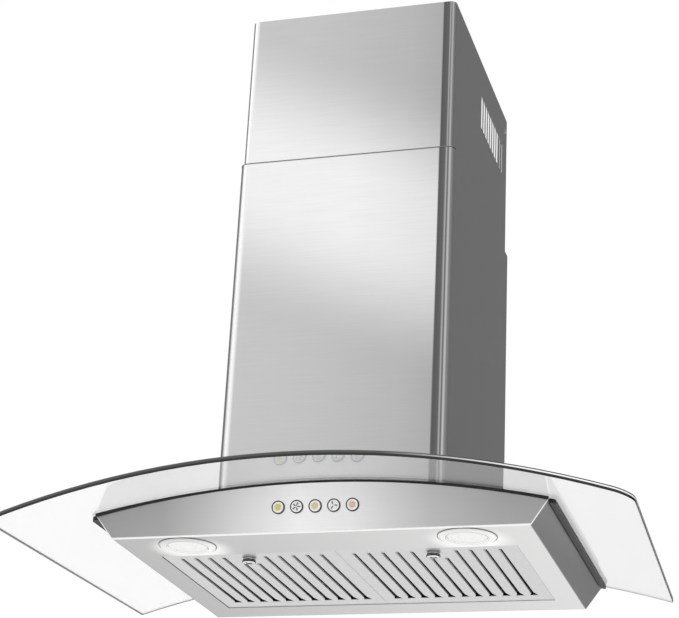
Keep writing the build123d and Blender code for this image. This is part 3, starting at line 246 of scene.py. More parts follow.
@dataclass(frozen=True)
class BrushedSteel:
    """Stainless sheet brushed with a belt: long fine scratches, with painted reflections: tones painted
    across it and a broad soft painted sheen.

    Attributes:
        name: The material's name.
        tones: Places across X in millimetres, each with its sRGB tone, painted light included, from left to
            right.
        grain: Which way the scratches run.
        contrast: How far the scratches darken the sheet, from 0 to 1.
        roughness: The mean roughness.
        spread: How far the roughness varies either way.
        bump: Strength of the scratches' bump.
        depth: The scratches' depth, in metres.
        painted_sheen: An optional painted sheen.
        faces: X range in millimetres that the sheen covers.
        fade: How much of the sheen is left at the right end of that range.
        fade_from: Where in that range it starts to fade, from 0 to 1.
    """

    name: str
    tones: tuple[tuple[float, str], ...]
    grain: Grain = Grain.LEVEL_WALLS
    contrast: float = 0.10
    roughness: float = 0.34
    spread: float = 0.06
    bump: float = 0.12
    depth: float = 0.0004
    painted_sheen: PaintedSheen | None = None
    faces: tuple[float, float] = (-131.0, 123.6)
    fade: float = 0.75
    fade_from: float = 0.55

    def build(self) -> bpy.types.Material:
        """Build the material's nodes.

        Returns:
            The material.
        """
        material, tree, shader = new_material(self.name)
        shader.inputs["Metallic"].default_value = 1.0
        coords = node(tree, "TexCoord")
        axes = node(tree, "SeparateXYZ", Vector=coords.outputs["Object"])
        low, high = self.tones[0][0], self.tones[-1][0]
        across = node(tree, "MapRange", {"From Min": low * MM, "From Max": high * MM},
                      Value=axes.outputs["X"])
        stops = [((x - low) / (high - low), linear(tone)) for x, tone in self.tones]
        toned = node(tree, "ValToRGB", {"stops": stops}, Fac=across)
        colour = toned.outputs["Color"]
        if self.painted_sheen:
            colour = self.add_painted_sheen(tree, axes, colour)
        scratches = self.scratches(tree)
        limits = {"To Min": 1.0 - self.contrast, "To Max": 1.0 + self.contrast / 2}
        shade = node(tree, "MapRange", limits, Value=scratches)
        tinted = node(tree, "VectorMath", {"operation": "MULTIPLY"},
                      i0=colour, i1=shade)
        limits = {"To Min": self.roughness - self.spread, "To Max": self.roughness + self.spread}
        rough = node(tree, "MapRange", limits, Value=scratches)
        bump = node(tree, "Bump", {"Strength": self.bump, "Distance": self.depth}, Height=scratches)
        feed(tree, shader, Base_Color=tinted.outputs["Vector"], Roughness=rough,
             Normal=bump.outputs["Normal"])
        return material

    def scratches(self, tree: bpy.types.NodeTree) -> object:
        """Long scratches. Real ones are about 0.1 mm apart; these are as coarse as the render can show.

        Args:
            tree: The material's node tree.

        Returns:
            The scratch height's output socket.
        """
        scale = tuple(1.0 / length for length in self.grain.value)
        noise = node(tree, "TexNoise", {"Scale": 1.0, "Detail": 3.0, "Roughness": 0.65},
                     Vector=object_coords(tree, scale))
        return noise.outputs["Fac"]

    def add_painted_sheen(self, tree: bpy.types.NodeTree, axes: bpy.types.Node, colour: object) -> object:
        """Mix the painted sheen into the front face only.

        Args:
            tree: The material's node tree.
            axes: The separated Object coordinates.
            colour: The sheet's colour so far.

        Returns:
            The colour with its sheen.
        """
        painted_sheen = self.painted_sheen
        slanted = node(tree, "Math", {"operation": "MULTIPLY_ADD", 1: painted_sheen.slope},
                       i0=axes.outputs["X"], i2=axes.outputs["Z"])
        span = painted_sheen.high - painted_sheen.low
        height = node(tree, "MapRange", {"From Min": painted_sheen.low * MM, "From Max": painted_sheen.high * MM},
                      Value=slanted.outputs["Value"])
        full, fading = (painted_sheen.peak_low - painted_sheen.low) / span, (painted_sheen.peak_high - painted_sheen.low) / span
        marks = ((0.0, 0.0), (full, 1.0), (fading, 1.0), (1.0, 0.0))
        stops = [(at, (v, v, v, 1.0)) for at, v in marks]
        band = node(tree, "ValToRGB", {"stops": stops}, Fac=height)
        band.color_ramp.interpolation = "EASE"
        left, right = self.faces
        start, end = left - 1.0, right + 1.0
        side = node(tree, "MapRange", {"From Min": start * MM, "From Max": end * MM},
                    Value=axes.outputs["X"])
        edge = 1.0 / (end - start)
        walls = ((0.0, 0.0), (edge, 1.0), (self.fade_from, 1.0), (1.0 - edge, self.fade), (1.0, 0.0))
        stops = [(at, (v, v, v, 1.0)) for at, v in walls]
        face = node(tree, "ValToRGB", {"stops": stops}, Fac=side)
        amount = node(tree, "Math", {"operation": "MULTIPLY"},
                      i0=band.outputs["Color"], i1=face.outputs["Color"])
        mixed = node(tree, "Mix", {"data_type": "RGBA", 7: linear(painted_sheen.colour)},
                     i0=amount.outputs["Value"], i6=colour)
        return mixed.outputs[2]


@dataclass(frozen=True)
class PanSteel:
    """The brushed underside, painted lighter to the right as a reflection, with a painted pool of lamp light
    round each lamp.

    Attributes:
        name: The material's name.
        left: sRGB tone at the left.
        right: sRGB tone at the right.
        bright: sRGB tone of the painted lamp light beside a lamp.
        half: Half of the pan's width, in metres.
        lamp_x: The lamps' distance from mid-width, in metres.
        lamp_y: The middle of the halo front to back, a little behind each lamp.
        halo: Radii in metres where the halo is full and where it has gone.
        roughness: Lowest and highest roughness.
    """

    name: str
    left: str = "b4b4b4"
    right: str = "dcdcdc"
    bright: str = "fbfbfa"
    half: float = 0.25
    lamp_x: float = 0.172
    lamp_y: float = -0.334
    halo: tuple[float, float] = (0.024, 0.058)
    roughness: tuple[float, float] = (0.32, 0.44)

    def build(self) -> bpy.types.Material:
        """Build the material's nodes.

        Returns:
            The material.
        """
        material, tree, shader = new_material(self.name)
        shader.inputs["Metallic"].default_value = 1.0
        coords = node(tree, "TexCoord")
        axes = node(tree, "SeparateXYZ", Vector=coords.outputs["Object"])
        # painted reflection: darker to the left, lighter to the right
        across = node(tree, "MapRange", {"From Min": -self.half, "From Max": self.half},
                      Value=axes.outputs["X"])
        stops = [(0.0, linear(self.left)), (1.0, linear(self.right))]
        tone = node(tree, "ValToRGB", {"stops": stops}, Fac=across)
        # painted light: a pool of lamp light painted round each lamp
        mirrored = node(tree, "Math", {"operation": "ABSOLUTE"}, i0=axes.outputs["X"])
        flat = node(tree, "CombineXYZ", X=mirrored.outputs["Value"], Y=axes.outputs["Y"])
        lamp = (self.lamp_x, self.lamp_y, 0.0)
        away = node(tree, "VectorMath", {"operation": "DISTANCE", 1: lamp},
                    i0=flat.outputs["Vector"])
        halo = node(tree, "MapRange",
                    {"interpolation_type": "SMOOTHSTEP", "From Min": self.halo[1], "From Max": self.halo[0]},
                    Value=away.outputs["Value"])
        lit = node(tree, "Mix", {"data_type": "RGBA", 7: linear(self.bright)},
                   i0=halo, i6=tone.outputs["Color"])
        low, high = self.roughness
        grain = Grain.ACROSS_PAN.value
        noise = node(tree, "TexNoise", {"Scale": 1.0, "Detail": 3.0},
                     Vector=object_coords(tree, tuple(1.0 / length for length in grain)))
        shade = node(tree, "MapRange", {"To Min": 0.95, "To Max": 1.03}, Value=noise.outputs["Fac"])
        tinted = node(tree, "VectorMath", {"operation": "MULTIPLY"},
                      i0=lit.outputs[2], i1=shade)
        rough = node(tree, "MapRange", {"To Min": low, "To Max": high}, Value=noise.outputs["Fac"])
        feed(tree, shader, Base_Color=tinted.outputs["Vector"], Roughness=rough)
        return material


@dataclass(frozen=True)
class Speckled:
    """Any sheet, casting, moulding or coating whose colour and gloss vary in fine specks.

    Attributes:
        name: The material's name, for the real material and how it was made.
        dark: sRGB colour of the specks.
        light: sRGB colour between them.
        speck_mm: Size of the specks in millimetres.
        metallic: 1 for bare metal, 0 for paint, plastic, rubber and lacquer.
        roughness: Lowest and highest roughness.
        bump: Height of the surface's texture, as a bump strength.
        ior: Index of refraction, for what isn't metal.
        depth: Depth of the surface's texture, in metres.
        cells: True for the flat crystals of hot-dip zinc.
        lit: Emission strength, for a lamp's diffuser.
    """

    name: str
    dark: str
    light: str
    speck_mm: float = 1.0
    metallic: float = 0.0
    roughness: tuple[float, float] = (0.4, 0.6)
    bump: float = 0.1
    ior: float = 1.5
    depth: float = 0.0003
    cells: bool = False
    lit: float = 0.0

    def build(self) -> bpy.types.Material:
        """Build the material's nodes.

        Returns:
            The material.
        """
        material, tree, shader = new_material(self.name)
        shader.inputs["Metallic"].default_value = self.metallic
        if not self.metallic:
            shader.inputs["IOR"].default_value = self.ior
        vector = object_coords(tree)
        scale = 1.0 / (self.speck_mm * MM)
        if self.cells:
            texture = node(tree, "TexVoronoi", {"Scale": scale}, Vector=vector)
            bright = node(tree, "SeparateXYZ", Vector=texture.outputs["Color"])
            height = bright.outputs["X"]
        else:
            texture = node(tree, "TexNoise", {"Scale": scale, "Detail": 3.0}, Vector=vector)
            height = texture.outputs["Fac"]
        stops = [(0.25, linear(self.dark)), (0.75, linear(self.light))]
        colour = node(tree, "ValToRGB", {"stops": stops}, Fac=height)
        low, high = self.roughness
        rough = node(tree, "MapRange", {"To Min": low, "To Max": high}, Value=height)
        bump = node(tree, "Bump", {"Strength": self.bump, "Distance": self.depth}, Height=height)
        feed(tree, shader, Base_Color=colour.outputs["Color"], Roughness=rough,
             Normal=bump.outputs["Normal"])
        if self.lit:
            feed(tree, shader, Emission_Color=colour.outputs["Color"])
            shader.inputs["Emission Strength"].default_value = self.lit
        return material


@dataclass(frozen=True)
class ExpandedMesh:
    """Layers of expanded aluminium: grey strands on the clean side, black underneath with greasy strands and
    painted shade.

    Attributes:
        name: The material's name.
        low: Height below which the greasy underside is painted black as shade, in metres.
        high: Height where the strands are clean and no longer painted dark.
        opening: The openings' width, in metres. Real ones are about half of this, too fine to show.
        lean: Angle of the strands to the filter's width, in degrees.
        strands: sRGB tones from an opening, painted dark as shade, to a strand.
        grease_and_shade: sRGB tone of the greasy underside, painted dark as shade.
        bump: Strength of the strands' bump.
        depth: The strands' depth, in metres.
    """

    name: str = "expanded_aluminium_layers"
    low: float = 0.0055
    high: float = 0.0090
    opening: float = 0.0060
    lean: float = 32.0
    strands: tuple[tuple[float, str], ...] = ((0.55, "1c1c1c"), (0.80, "b0b0b0"))
    grease_and_shade: str = "030303"
    bump: float = 0.4
    depth: float = 0.0005

    def build(self) -> bpy.types.Material:
        """Build the material's nodes, from two sets of crossing strands.

        Returns:
            The material.
        """
        material, tree, shader = new_material(self.name)
        shader.inputs["Metallic"].default_value = 1.0
        shader.inputs["Roughness"].default_value = 0.5
        # a wave of scale 1 repeats every 2 pi / 20
        scale = 2 * math.pi / 20 / self.opening
        waves = []
        for sign in (-1.0, 1.0):
            turned = object_coords(tree, turn=(0.0, 0.0, math.radians(sign * self.lean)))
            bands = {"bands_direction": "Y", "Scale": scale}
            waves.append(node(tree, "TexWave", bands, Vector=turned))
        strands = node(tree, "Math", {"operation": "MAXIMUM"},
                       i0=waves[0].outputs["Fac"], i1=waves[1].outputs["Fac"])
        stops = [(at, linear(tone)) for at, tone in self.strands]
        net = node(tree, "ValToRGB", {"stops": stops}, Fac=strands.outputs["Value"])
        coords = node(tree, "TexCoord")
        axes = node(tree, "SeparateXYZ", Vector=coords.outputs["Object"])
        # painted shade: below the clean height the net turns to the dark greasy tone
        clean = node(tree, "MapRange", {"From Min": self.low, "From Max": self.high},
                     Value=axes.outputs["Z"])
        colour = node(tree, "Mix", {"data_type": "RGBA", 6: linear(self.grease_and_shade)},
                      i0=clean, i7=net.outputs["Color"])
        bump = node(tree, "Bump", {"Strength": self.bump, "Distance": self.depth},
                    Height=strands.outputs["Value"])
        feed(tree, shader, Base_Color=colour.outputs[2], Normal=bump.outputs["Normal"])
        return material


@dataclass(frozen=True)
class CanopyGlass:
    """Clear float glass, bent and toughened: bright faces, and ground edges painted dark as shade, with a
    painted highlight.

    Attributes:
        name: The material's name.
        clear: sRGB tint of the faces.
        haze: How much of the light the faces scatter instead of passing it on.
        facing: How squarely a face looks along the bend's radius, from an edge to a clear face.
        rolled: Places across the ground edge, from 0 underneath to 1 on top, each with its tone of painted
            shade and reflection.
        gleam: The same places with a painted highlight where the edge catches the light, towards the right
            end.
        gleam_x: Where the gleam starts and is full, in metres.
        thickness: The glass's thickness, in metres.
    """

    name: str = "bent_toughened_float_glass"
    clear: str = "fbfcfc"
    haze: float = 0.07
    facing: tuple[float, float] = (0.80, 0.95)
    rolled: tuple[tuple[float, str], ...] = (
        (0.0, "040404"), (0.38, "0a0b0b"), (0.50, "3c3e3e"), (0.86, "484a4a"), (1.0, "707272"),
    )
    gleam: tuple[tuple[float, str], ...] = (
        (0.0, "020202"), (0.50, "040404"), (0.56, "fafafa"), (0.76, "fafafa"), (0.82, "080808"),
    )
    gleam_x: tuple[float, float] = (0.10, 0.26)
    thickness: float = 0.006

    def build(self) -> bpy.types.Material:
        """Build the material's nodes: the faces look along the bend's radius, and the edges across it.

        Returns:
            The material.
        """
        material, tree, shader = new_material(self.name)
        shader.inputs["IOR"].default_value = 1.52
        geometry = node(tree, "NewGeometry")
        radial = object_coords(tree, (1.0, 0.0, 1.0), shift=(0.0, 0.0, -GLASS_BEND_Z))
        outward = node(tree, "VectorMath", {"operation": "NORMALIZE"}, i0=radial)
        square = node(tree, "VectorMath", {"operation": "DOT_PRODUCT"},
                      i0=outward.outputs["Vector"], i1=geometry.outputs["Normal"])
        size = node(tree, "Math", {"operation": "ABSOLUTE"}, i0=square.outputs["Value"])
        limits = {"From Min": self.facing[0], "From Max": self.facing[1]}
        face = node(tree, "MapRange", limits, Value=size.outputs["Value"])
        smears = node(tree, "TexNoise", {"Scale": 14.0, "Detail": 2.0},
                      Vector=object_coords(tree))
        colour = node(tree, "Mix", {"data_type": "RGBA", 7: linear(self.clear)},
                      i0=face, i6=self.edge_painted_light(tree, radial))
        rough = node(tree, "MapRange", {"To Min": 0.0, "To Max": 0.02}, Value=smears.outputs["Fac"])
        feed(tree, shader, Base_Color=colour.outputs[2])
        limits["To Max"] = 1.0 - self.haze
        passed = node(tree, "MapRange", limits, Value=size.outputs["Value"])
        feed(tree, shader, Transmission_Weight=passed, Roughness=rough)
        return material


    def edge_painted_light(self, tree: bpy.types.NodeTree, radial: object) -> object:
        """The ground edge, painted: dark shade below, a paler painted reflection above, and a painted
        highlight towards the right.

        Args:
            tree: The material's node tree.
            radial: The place measured from the bend's axis.

        Returns:
            The edge colour's output socket.
        """
        length = node(tree, "VectorMath", {"operation": "LENGTH"}, i0=radial)
        height = node(tree, "MapRange",
                      {"From Min": GLASS_BEND_RADIUS, "From Max": GLASS_BEND_RADIUS + self.thickness},
                      Value=length.outputs["Value"])
        coords = node(tree, "TexCoord")
        axes = node(tree, "SeparateXYZ", Vector=coords.outputs["Object"])
        amount = node(tree, "MapRange", {"From Min": self.gleam_x[0], "From Max": self.gleam_x[1]},
                      Value=axes.outputs["X"])
        tones = []
        for marks in (self.rolled, self.gleam):
            stops = [(at, linear(tone)) for at, tone in marks]
            tones.append(node(tree, "ValToRGB", {"stops": stops}, Fac=height))
        mixed = node(tree, "Mix", {"data_type": "RGBA"},
                     i0=amount, i6=tones[0].outputs["Color"], i7=tones[1].outputs["Color"])
        return mixed.outputs[2]


@dataclass(frozen=True)
class ButtonFace:
    """A satin metal button cap with a white ring and a tinted window, centred on its own axis.

    Attributes:
        name: The material's name.
        x: The button's distance from mid-width, in metres.
        window: sRGB colour of its window.
        reach: Distance from its axis where the tones end, in metres.
        ring: Places from the window's rim outwards, as parts of the reach, with their tones.
        mottle: Size of the window's mottling, in metres.
    """

    name: str
    x: float
    window: str
    reach: float = 0.0070
    ring: tuple[tuple[float, str], ...] = ((0.64, "f8f8f6"), (0.92, "fcfcfc"), (0.98, "5a5a5c"))
    mottle: float = 1.0 / 900.0

    def build(self) -> bpy.types.Material:
        """Build the material's nodes, from the distance to the button's axis.

        Returns:
            The material.
        """
        material, tree, shader = new_material(self.name)
        centre = panel_point(self.x, BUTTON_HEIGHT, CAP_PROUD)
        coords = node(tree, "TexCoord")
        away = node(tree, "VectorMath", {"operation": "DISTANCE", 1: tuple(centre)},
                    i0=coords.outputs["Object"])
        radius = node(tree, "MapRange", {"From Min": 0.0, "From Max": self.reach},
                      Value=away.outputs["Value"])
        marks = ((0.0, self.window), (0.54, self.window), *self.ring)
        stops = [(at, linear(tone)) for at, tone in marks]
        colour = node(tree, "ValToRGB", {"stops": stops}, Fac=radius)
        noise = node(tree, "TexNoise", {"Scale": 1.0 / self.mottle},
                     Vector=coords.outputs["Object"])
        rough = node(tree, "MapRange", {"To Min": 0.22, "To Max": 0.4}, Value=noise.outputs["Fac"])
        limits = {"From Min": 0.3, "From Max": 0.7, "To Min": 0.82, "To Max": 1.06}
        shade = node(tree, "MapRange", limits, Value=noise.outputs["Fac"])
        mottled = node(tree, "VectorMath", {"operation": "MULTIPLY"},
                       i0=colour.outputs["Color"], i1=shade)
        feed(tree, shader, Base_Color=mottled.outputs["Vector"], Roughness=rough)
        shader.inputs["Metallic"].default_value = 0.25
        return material


def panel_point(x: float, up: float, out: float) -> Vector:
    """A point on the leaning front panel.

    Args:
        x: Distance to the right of mid-width, in metres.
        up: Distance up the panel from its lower edge.
        out: Distance out from its outer face.

    Returns:
        The point in the CAD frame.
    """
    lean_y, lean_z = math.sin(FRONT_LEAN), math.cos(FRONT_LEAN)
    return Vector((x, -BODY_DEPTH - up * lean_y - out * lean_z, up * lean_z - out * lean_y))


def cover_painted_light(half: float, corner: float) -> tuple[tuple[float, str], ...]:
    """Tones across a cover, painted light: a painted highlight and shade round its left corner, a painted
    gradient across its front, painted reflection bands round its right corner and its side's painted tone.

    Args:
        half: Half of the cover's width, in millimetres.
        corner: The corner's radius, in millimetres.

    Returns:
        Places in millimetres with their sRGB tones.
    """
    flat = half - corner
    # painted shade and a painted highlight round the left rounded corner
    left_corner = (
        (-half, "a8a8a8"), (-half + 0.05 * corner, "4a4a4a"), (-half + 0.45 * corner, "5c5c5c"),
        (-flat - 2.0, "f8f8f8"), (-flat + 0.5, "f0f0f0"), (-flat + 3.0, "c8c8c8"),
    )
    # the front, painted darker towards the right, ending in a painted dark strip
    front = (
        (-60.0, "c6c6c6"), (0.0, "c2c2c2"), (80.0, "bababa"), (flat - 8.5, "b0b0b0"), (flat - 7.8, "5a5a5a"),
    )
    # painted reflection bands round the right rounded corner, then the side's painted tone
    right_corner = (
        (flat + 0.05 * corner, "686868"), (flat + 0.15 * corner, "c8c8c8"), (flat + 0.28 * corner, "6c6c6c"),
        (flat + 0.42 * corner, "7c7c7c"), (flat + 0.52 * corner, "d4d4d4"), (flat + 0.70 * corner, "909090"),
        (half, "d8d8d8"),
    )
    return left_corner + front + right_corner


# ---------------------------------------------------------------- sub-assemblies
@dataclass
class Materials:
    """Every finish on the hood, built once and looked up by name."""

    made: dict[str, bpy.types.Material] = field(default_factory=dict)

    def build_all(self) -> None:
        """Build the finishes."""
        # a painted sheen: a slanting band of reflected light painted across both covers' fronts
        painted_sheen = PaintedSheen(low=250.0, peak_low=420.0, peak_high=475.0, high=660.0, slope=0.46, colour="f2f2f2")
        # painted reflection across the front panel: bright in the middle, greyer to the sides
        panel = (
            (-300.0, "a0a0a0"), (-190.0, "acacac"), (-130.0, "c8c8c8"), (-90.0, "dcdcdc"), (-20.0, "f4f4f4"),
            (40.0, "eaeaea"), (90.0, "d4d4d4"), (140.0, "bebebe"), (220.0, "aaaaaa"), (300.0, "a4a4a4"),
        )
        plain = ((-300.0, "b6b6b6"), (300.0, "bcbcbc"))
        # painted shade: the side panels a darker grey than the same sheet in front
        sides = ((-300.0, "909090"), (300.0, "8c8c8c"))
        finishes = {
            # belt-brushed sheet, with painted reflections: soft bands of the room painted into its tones, and
            # a painted sheen
            "chimney_lower": BrushedSteel(
                "brushed_stainless_lower_cover", cover_painted_light(143.0, 11.0), painted_sheen=painted_sheen,
            ),
            # the same sheet on the sliding cover, with the same painted reflections and painted sheen
            "chimney_upper": BrushedSteel(
                "brushed_stainless_upper_cover", cover_painted_light(140.0, 8.0), painted_sheen=painted_sheen,
            ),
            # painted reflection: bright in the middle, greyer to the sides
            "front_panel": BrushedSteel("brushed_stainless_front_panel", panel, contrast=0.05),
            # plain brushed sheet: an even pale grey
            "brushed_steel": BrushedSteel("brushed_stainless_body", plain, contrast=0.06),
            # the same sheet turned from the light: painted shade, a darker grey
            "side_panel_left": BrushedSteel("brushed_stainless_left_panel", sides, contrast=0.06),
            "side_panel_right": BrushedSteel("brushed_stainless_right_panel", sides, contrast=0.06),
            # brushed pan: pale, with painted lamp light round each lamp and a painted reflection lighter to
            # the right
            "bottom_pan": PanSteel("brushed_stainless_pan"),
            # pressed tray: an even satin grey
            "filter_steel": Speckled(
                "satin_stainless_filter_tray", "c2c2c2", "d8d8d8", 2.2, 1.0, (0.36, 0.46), 0.15,
            ),
            # expanded aluminium: a grey net above; black below, greasy and painted as shade
            "filter_mesh": ExpandedMesh(),
            # zinc: flat grey crystals, each with its own gloss
            "galvanised_steel": Speckled(
                "hot_dip_galvanised_sheet", "8f9396", "b8bcbe", 7.0, 1.0, (0.38, 0.55), 0.05, cells=True,
            ),
            # float glass: clear faces; ground edges painted dark as shade, with a painted highlight
            "canopy_glass": CanopyGlass(),
            # extrusion: matt black
            "seal_rubber": Speckled(
                "extruded_black_rubber", "060606", "121212", 0.8, 0.0, (0.6, 0.8), 0.2, 1.52,
            ),
            # anodised: near black with a soft sheen
            "rail_metal": Speckled("black_anodised_rail", "0c0c0d", "18181a", 1.0, 0.0, (0.5, 0.6)),
            # polish: small sharp highlights
            "polished_steel": Speckled(
                "polished_stainless", "d2d2d2", "e6e6e6", 3.0, 1.0, (0.12, 0.2), 0.03,
            ),
            # turned steel: a thin gloss on black
            "button_metal": Speckled("dark_turned_steel_ring", "101011", "1c1c1e", 1.0, 1.0, (0.25, 0.35)),
            # frosting: an even white, faintly lit
            "lamp_lens": Speckled(
                "frosted_glass_diffuser", "e2e2e1", "eaeae9", 4.0, 0.0, (0.3, 0.4), 0.1, 1.5, lit=0.10,
            ),
            # spinning: soft mid grey
            "lamp_body": Speckled("spun_aluminium", "a6a6a6", "bcbcbc", 1.5, 1.0, (0.35, 0.45)),
            # enamel: charcoal with a dull gloss
            "motor_paint": Speckled(
                "baked_enamel_motor_case", "1c1c1f", "2a2a2e", 1.2, 0.0, (0.3, 0.45), 0.15, 1.5,
            ),
            # moulding: black with a broad dim highlight
            "black_plastic": Speckled(
                "moulded_black_abs", "0a0a0a", "181818", 0.7, 0.0, (0.45, 0.6), 0.2, 1.53,
            ),
            # lacquer: glossy mottled green
            "circuit_board": Speckled(
                "lacquered_glass_fibre_board", "0d3a20", "1c6036", 3.0, 0.0, (0.25, 0.35), 0.1, 1.55,
                cells=True,
            ),
            # blackening: a thin dark outline round each button
            "button_bezels": Speckled(
                "blackened_steel_ring", "0c0c0d", "161618", 1.0, 0.0, (0.3, 0.4), 0.05,
            ),
            # painted shade: a thin grey ring where a shade line falls round each lamp ring and lens
            "lamp_shade_line": Speckled(
                "grey_shade_line_ring", "4a4a4a", "5c5c5c", 0.8, 0.0, (0.5, 0.6), 0.05, 1.45,
            ),
            # painted shade: black rings on a bright knob, at its rim, face and waist
            "knob_shade_ring": Speckled(
                "black_knob_shade_ring", "060606", "101010", 0.6, 0.0, (0.5, 0.6), 0.05, 1.5,
            ),
            # painted shade: one grey line, darker than the cover, along the seam
            "cover_hem": Speckled("hem_with_painted_seam_shade", "707070", "808080", 1.0, 1.0, (0.3, 0.4), 0.05),
            # painted highlight: a white line where two sheets meet, brighter than the sheet
            "bright_fold": Speckled(
                "white_steel_fold_highlight", "f8f8f8", "ffffff", 2.0, 1.0, (0.30, 0.36), 0.02,
            ),
            # ink: flat dark grey
            "window_dark": Speckled(
                "printed_grey_ink", "303034", "4a4a50", 0.5, 0.0, (0.5, 0.6), 0.05, 1.5,
            ),
        }
        for key, finish in finishes.items():
            self.made[key] = finish.build()


@dataclass
class Frame:
    """The CAD nodes that keep their own shape."""

    nodes: dict[str, bpy.types.Object]
    record: dict

    def dress(self, finishes: Materials) -> None:
        """Give every CAD node its own finish, or its slot's.

        Args:
            finishes: The built finishes.
        """
        slots = {part["node"]: part["material_slot"] for part in self.record["subparts"]}
        for name, piece in self.nodes.items():
            material = finishes.made.get(name, finishes.made.get(slots[name]))
            piece.data.materials.clear()
            piece.data.materials.append(material)
        LOG.info("dressed %d CAD nodes", len(self.nodes))


@dataclass
class Buttons:
    """The five caps on the front panel, two of them with a fan glyph.

    Attributes:
        pitch: Distance between two buttons, in metres.
        radius: Radius of a cap.
        dome: How far a cap's middle stands above its rim.
        windows: sRGB window colour of each cap, from left to right.
        glyphs: Number of fan blades printed on each cap.
    """

    pitch: float = BUTTON_PITCH
    radius: float = 0.0067
    dome: float = 0.0005
    windows: tuple[str, ...] = ("d8ca74", "f2f3f4", "e2c8a2", "f2f3f4", "e0bea2")
    glyphs: tuple[int, ...] = (0, 5, 0, 3, 0)

    def build(self, finishes: Materials) -> None:
        """Build the caps and the glyphs.

        Args:
            finishes: The built finishes.
        """
        middle = (len(self.windows) - 1) / 2
        for index, (window, blades) in enumerate(zip(self.windows, self.glyphs)):
            x = (index - middle) * self.pitch
            number = index + 1
            face = ButtonFace(f"satin_cap_face_{number}", x, window).build()
            cap = self.cap(f"button_cap_{number}", x)
            place(cap, f"button_{number}", "button_metal", face, f"push_button_{number}")
            if blades:
                glyph = self.glyph(f"fan_glyph_{number}", x, blades)
                place(glyph, f"button_{number}", "black_plastic", finishes.made["window_dark"])

    def seat(self, x: float) -> Matrix:
        """The frame of a button: its own Z points out of the panel.

        Args:
            x: The button's distance from mid-width.

        Returns:
            The matrix from the button's own axes to the CAD frame.
        """
        turn = Matrix.Rotation(math.radians(90.0) + FRONT_LEAN, 4, "X")
        return Matrix.Translation(panel_point(x, BUTTON_HEIGHT, 0.0)) @ turn

    def cap(self, name: str, x: float) -> bpy.types.Object:
        """A domed cap with a rolled rim and its stem, spun from its profile.

        Args:
            name: The piece's name.
            x: Its distance from mid-width.

        Returns:
            The piece.
        """
        # parts of the radius, and falls from the top in parts of the dome
        face = ((0.0, 0.0), (0.35, 0.1), (0.62, 0.4), (0.66, 1.2), (0.72, 0.3), (0.90, 0.3), (1.0, 1.8))
        stem = ((self.radius, -0.0060), (0.0024, -0.0060), (0.0024, -0.0120), (0.0, -0.0120))
        profile = tuple((self.radius * out, CAP_PROUD - self.dome * fall) for out, fall in face) + stem
        return spin_profile(name, profile, self.seat(x), 40)

    def glyph(self, name: str, x: float, blades: int) -> bpy.types.Object:
        """Swept fan blades standing just above the cap's hollow.

        Args:
            name: The piece's name.
            x: The button's distance from mid-width.
            blades: Number of blades.

        Returns:
            The piece.
        """
        mesh = bmesh.new()
        # the blades start inside the cap, so that no gap shows under them
        low, high = 0.0019, CAP_PROUD
        outline = ((0.0006, -0.0002), (0.0044, -0.0012), (0.0050, 0.0002), (0.0028, 0.0006), (0.0008, 0.0004))
        for blade in range(blades):
            turn = Matrix.Rotation(2 * math.pi * blade / blades, 4, "Z")
            corners = [mesh.verts.new(turn @ Vector((px, py, low))) for px, py in outline]
            made = bmesh.ops.extrude_face_region(mesh, geom=[mesh.faces.new(corners)])
            raised = [item for item in made["geom"] if isinstance(item, bmesh.types.BMVert)]
            bmesh.ops.translate(mesh, vec=(0.0, 0.0, high - low), verts=raised)
        bmesh.ops.transform(mesh, matrix=self.seat(x), verts=mesh.verts)
        return finish_mesh(mesh, name)


def spin_profile(name: str, profile: tuple, seat: Matrix, steps: int) -> bpy.types.Object:
    """Spin a profile about its own Z axis and put it in place.

    Args:
        name: The piece's name.
        profile: Radius and height of each point.
        seat: The matrix from the profile's axes to the CAD frame.
        steps: Number of steps round the axis.

    Returns:
        The piece.
    """
    mesh = bmesh.new()
    line = [mesh.verts.new((radius, 0.0, height)) for radius, height in profile]
    edges = [mesh.edges.new(pair) for pair in zip(line, line[1:])]
    bmesh.ops.spin(mesh, geom=line + edges, cent=(0, 0, 0), axis=(0, 0, 1), angle=2 * math.pi, steps=steps,
                   use_merge=True)
    bmesh.ops.transform(mesh, matrix=seat, verts=mesh.verts)
    return finish_mesh(mesh, name)


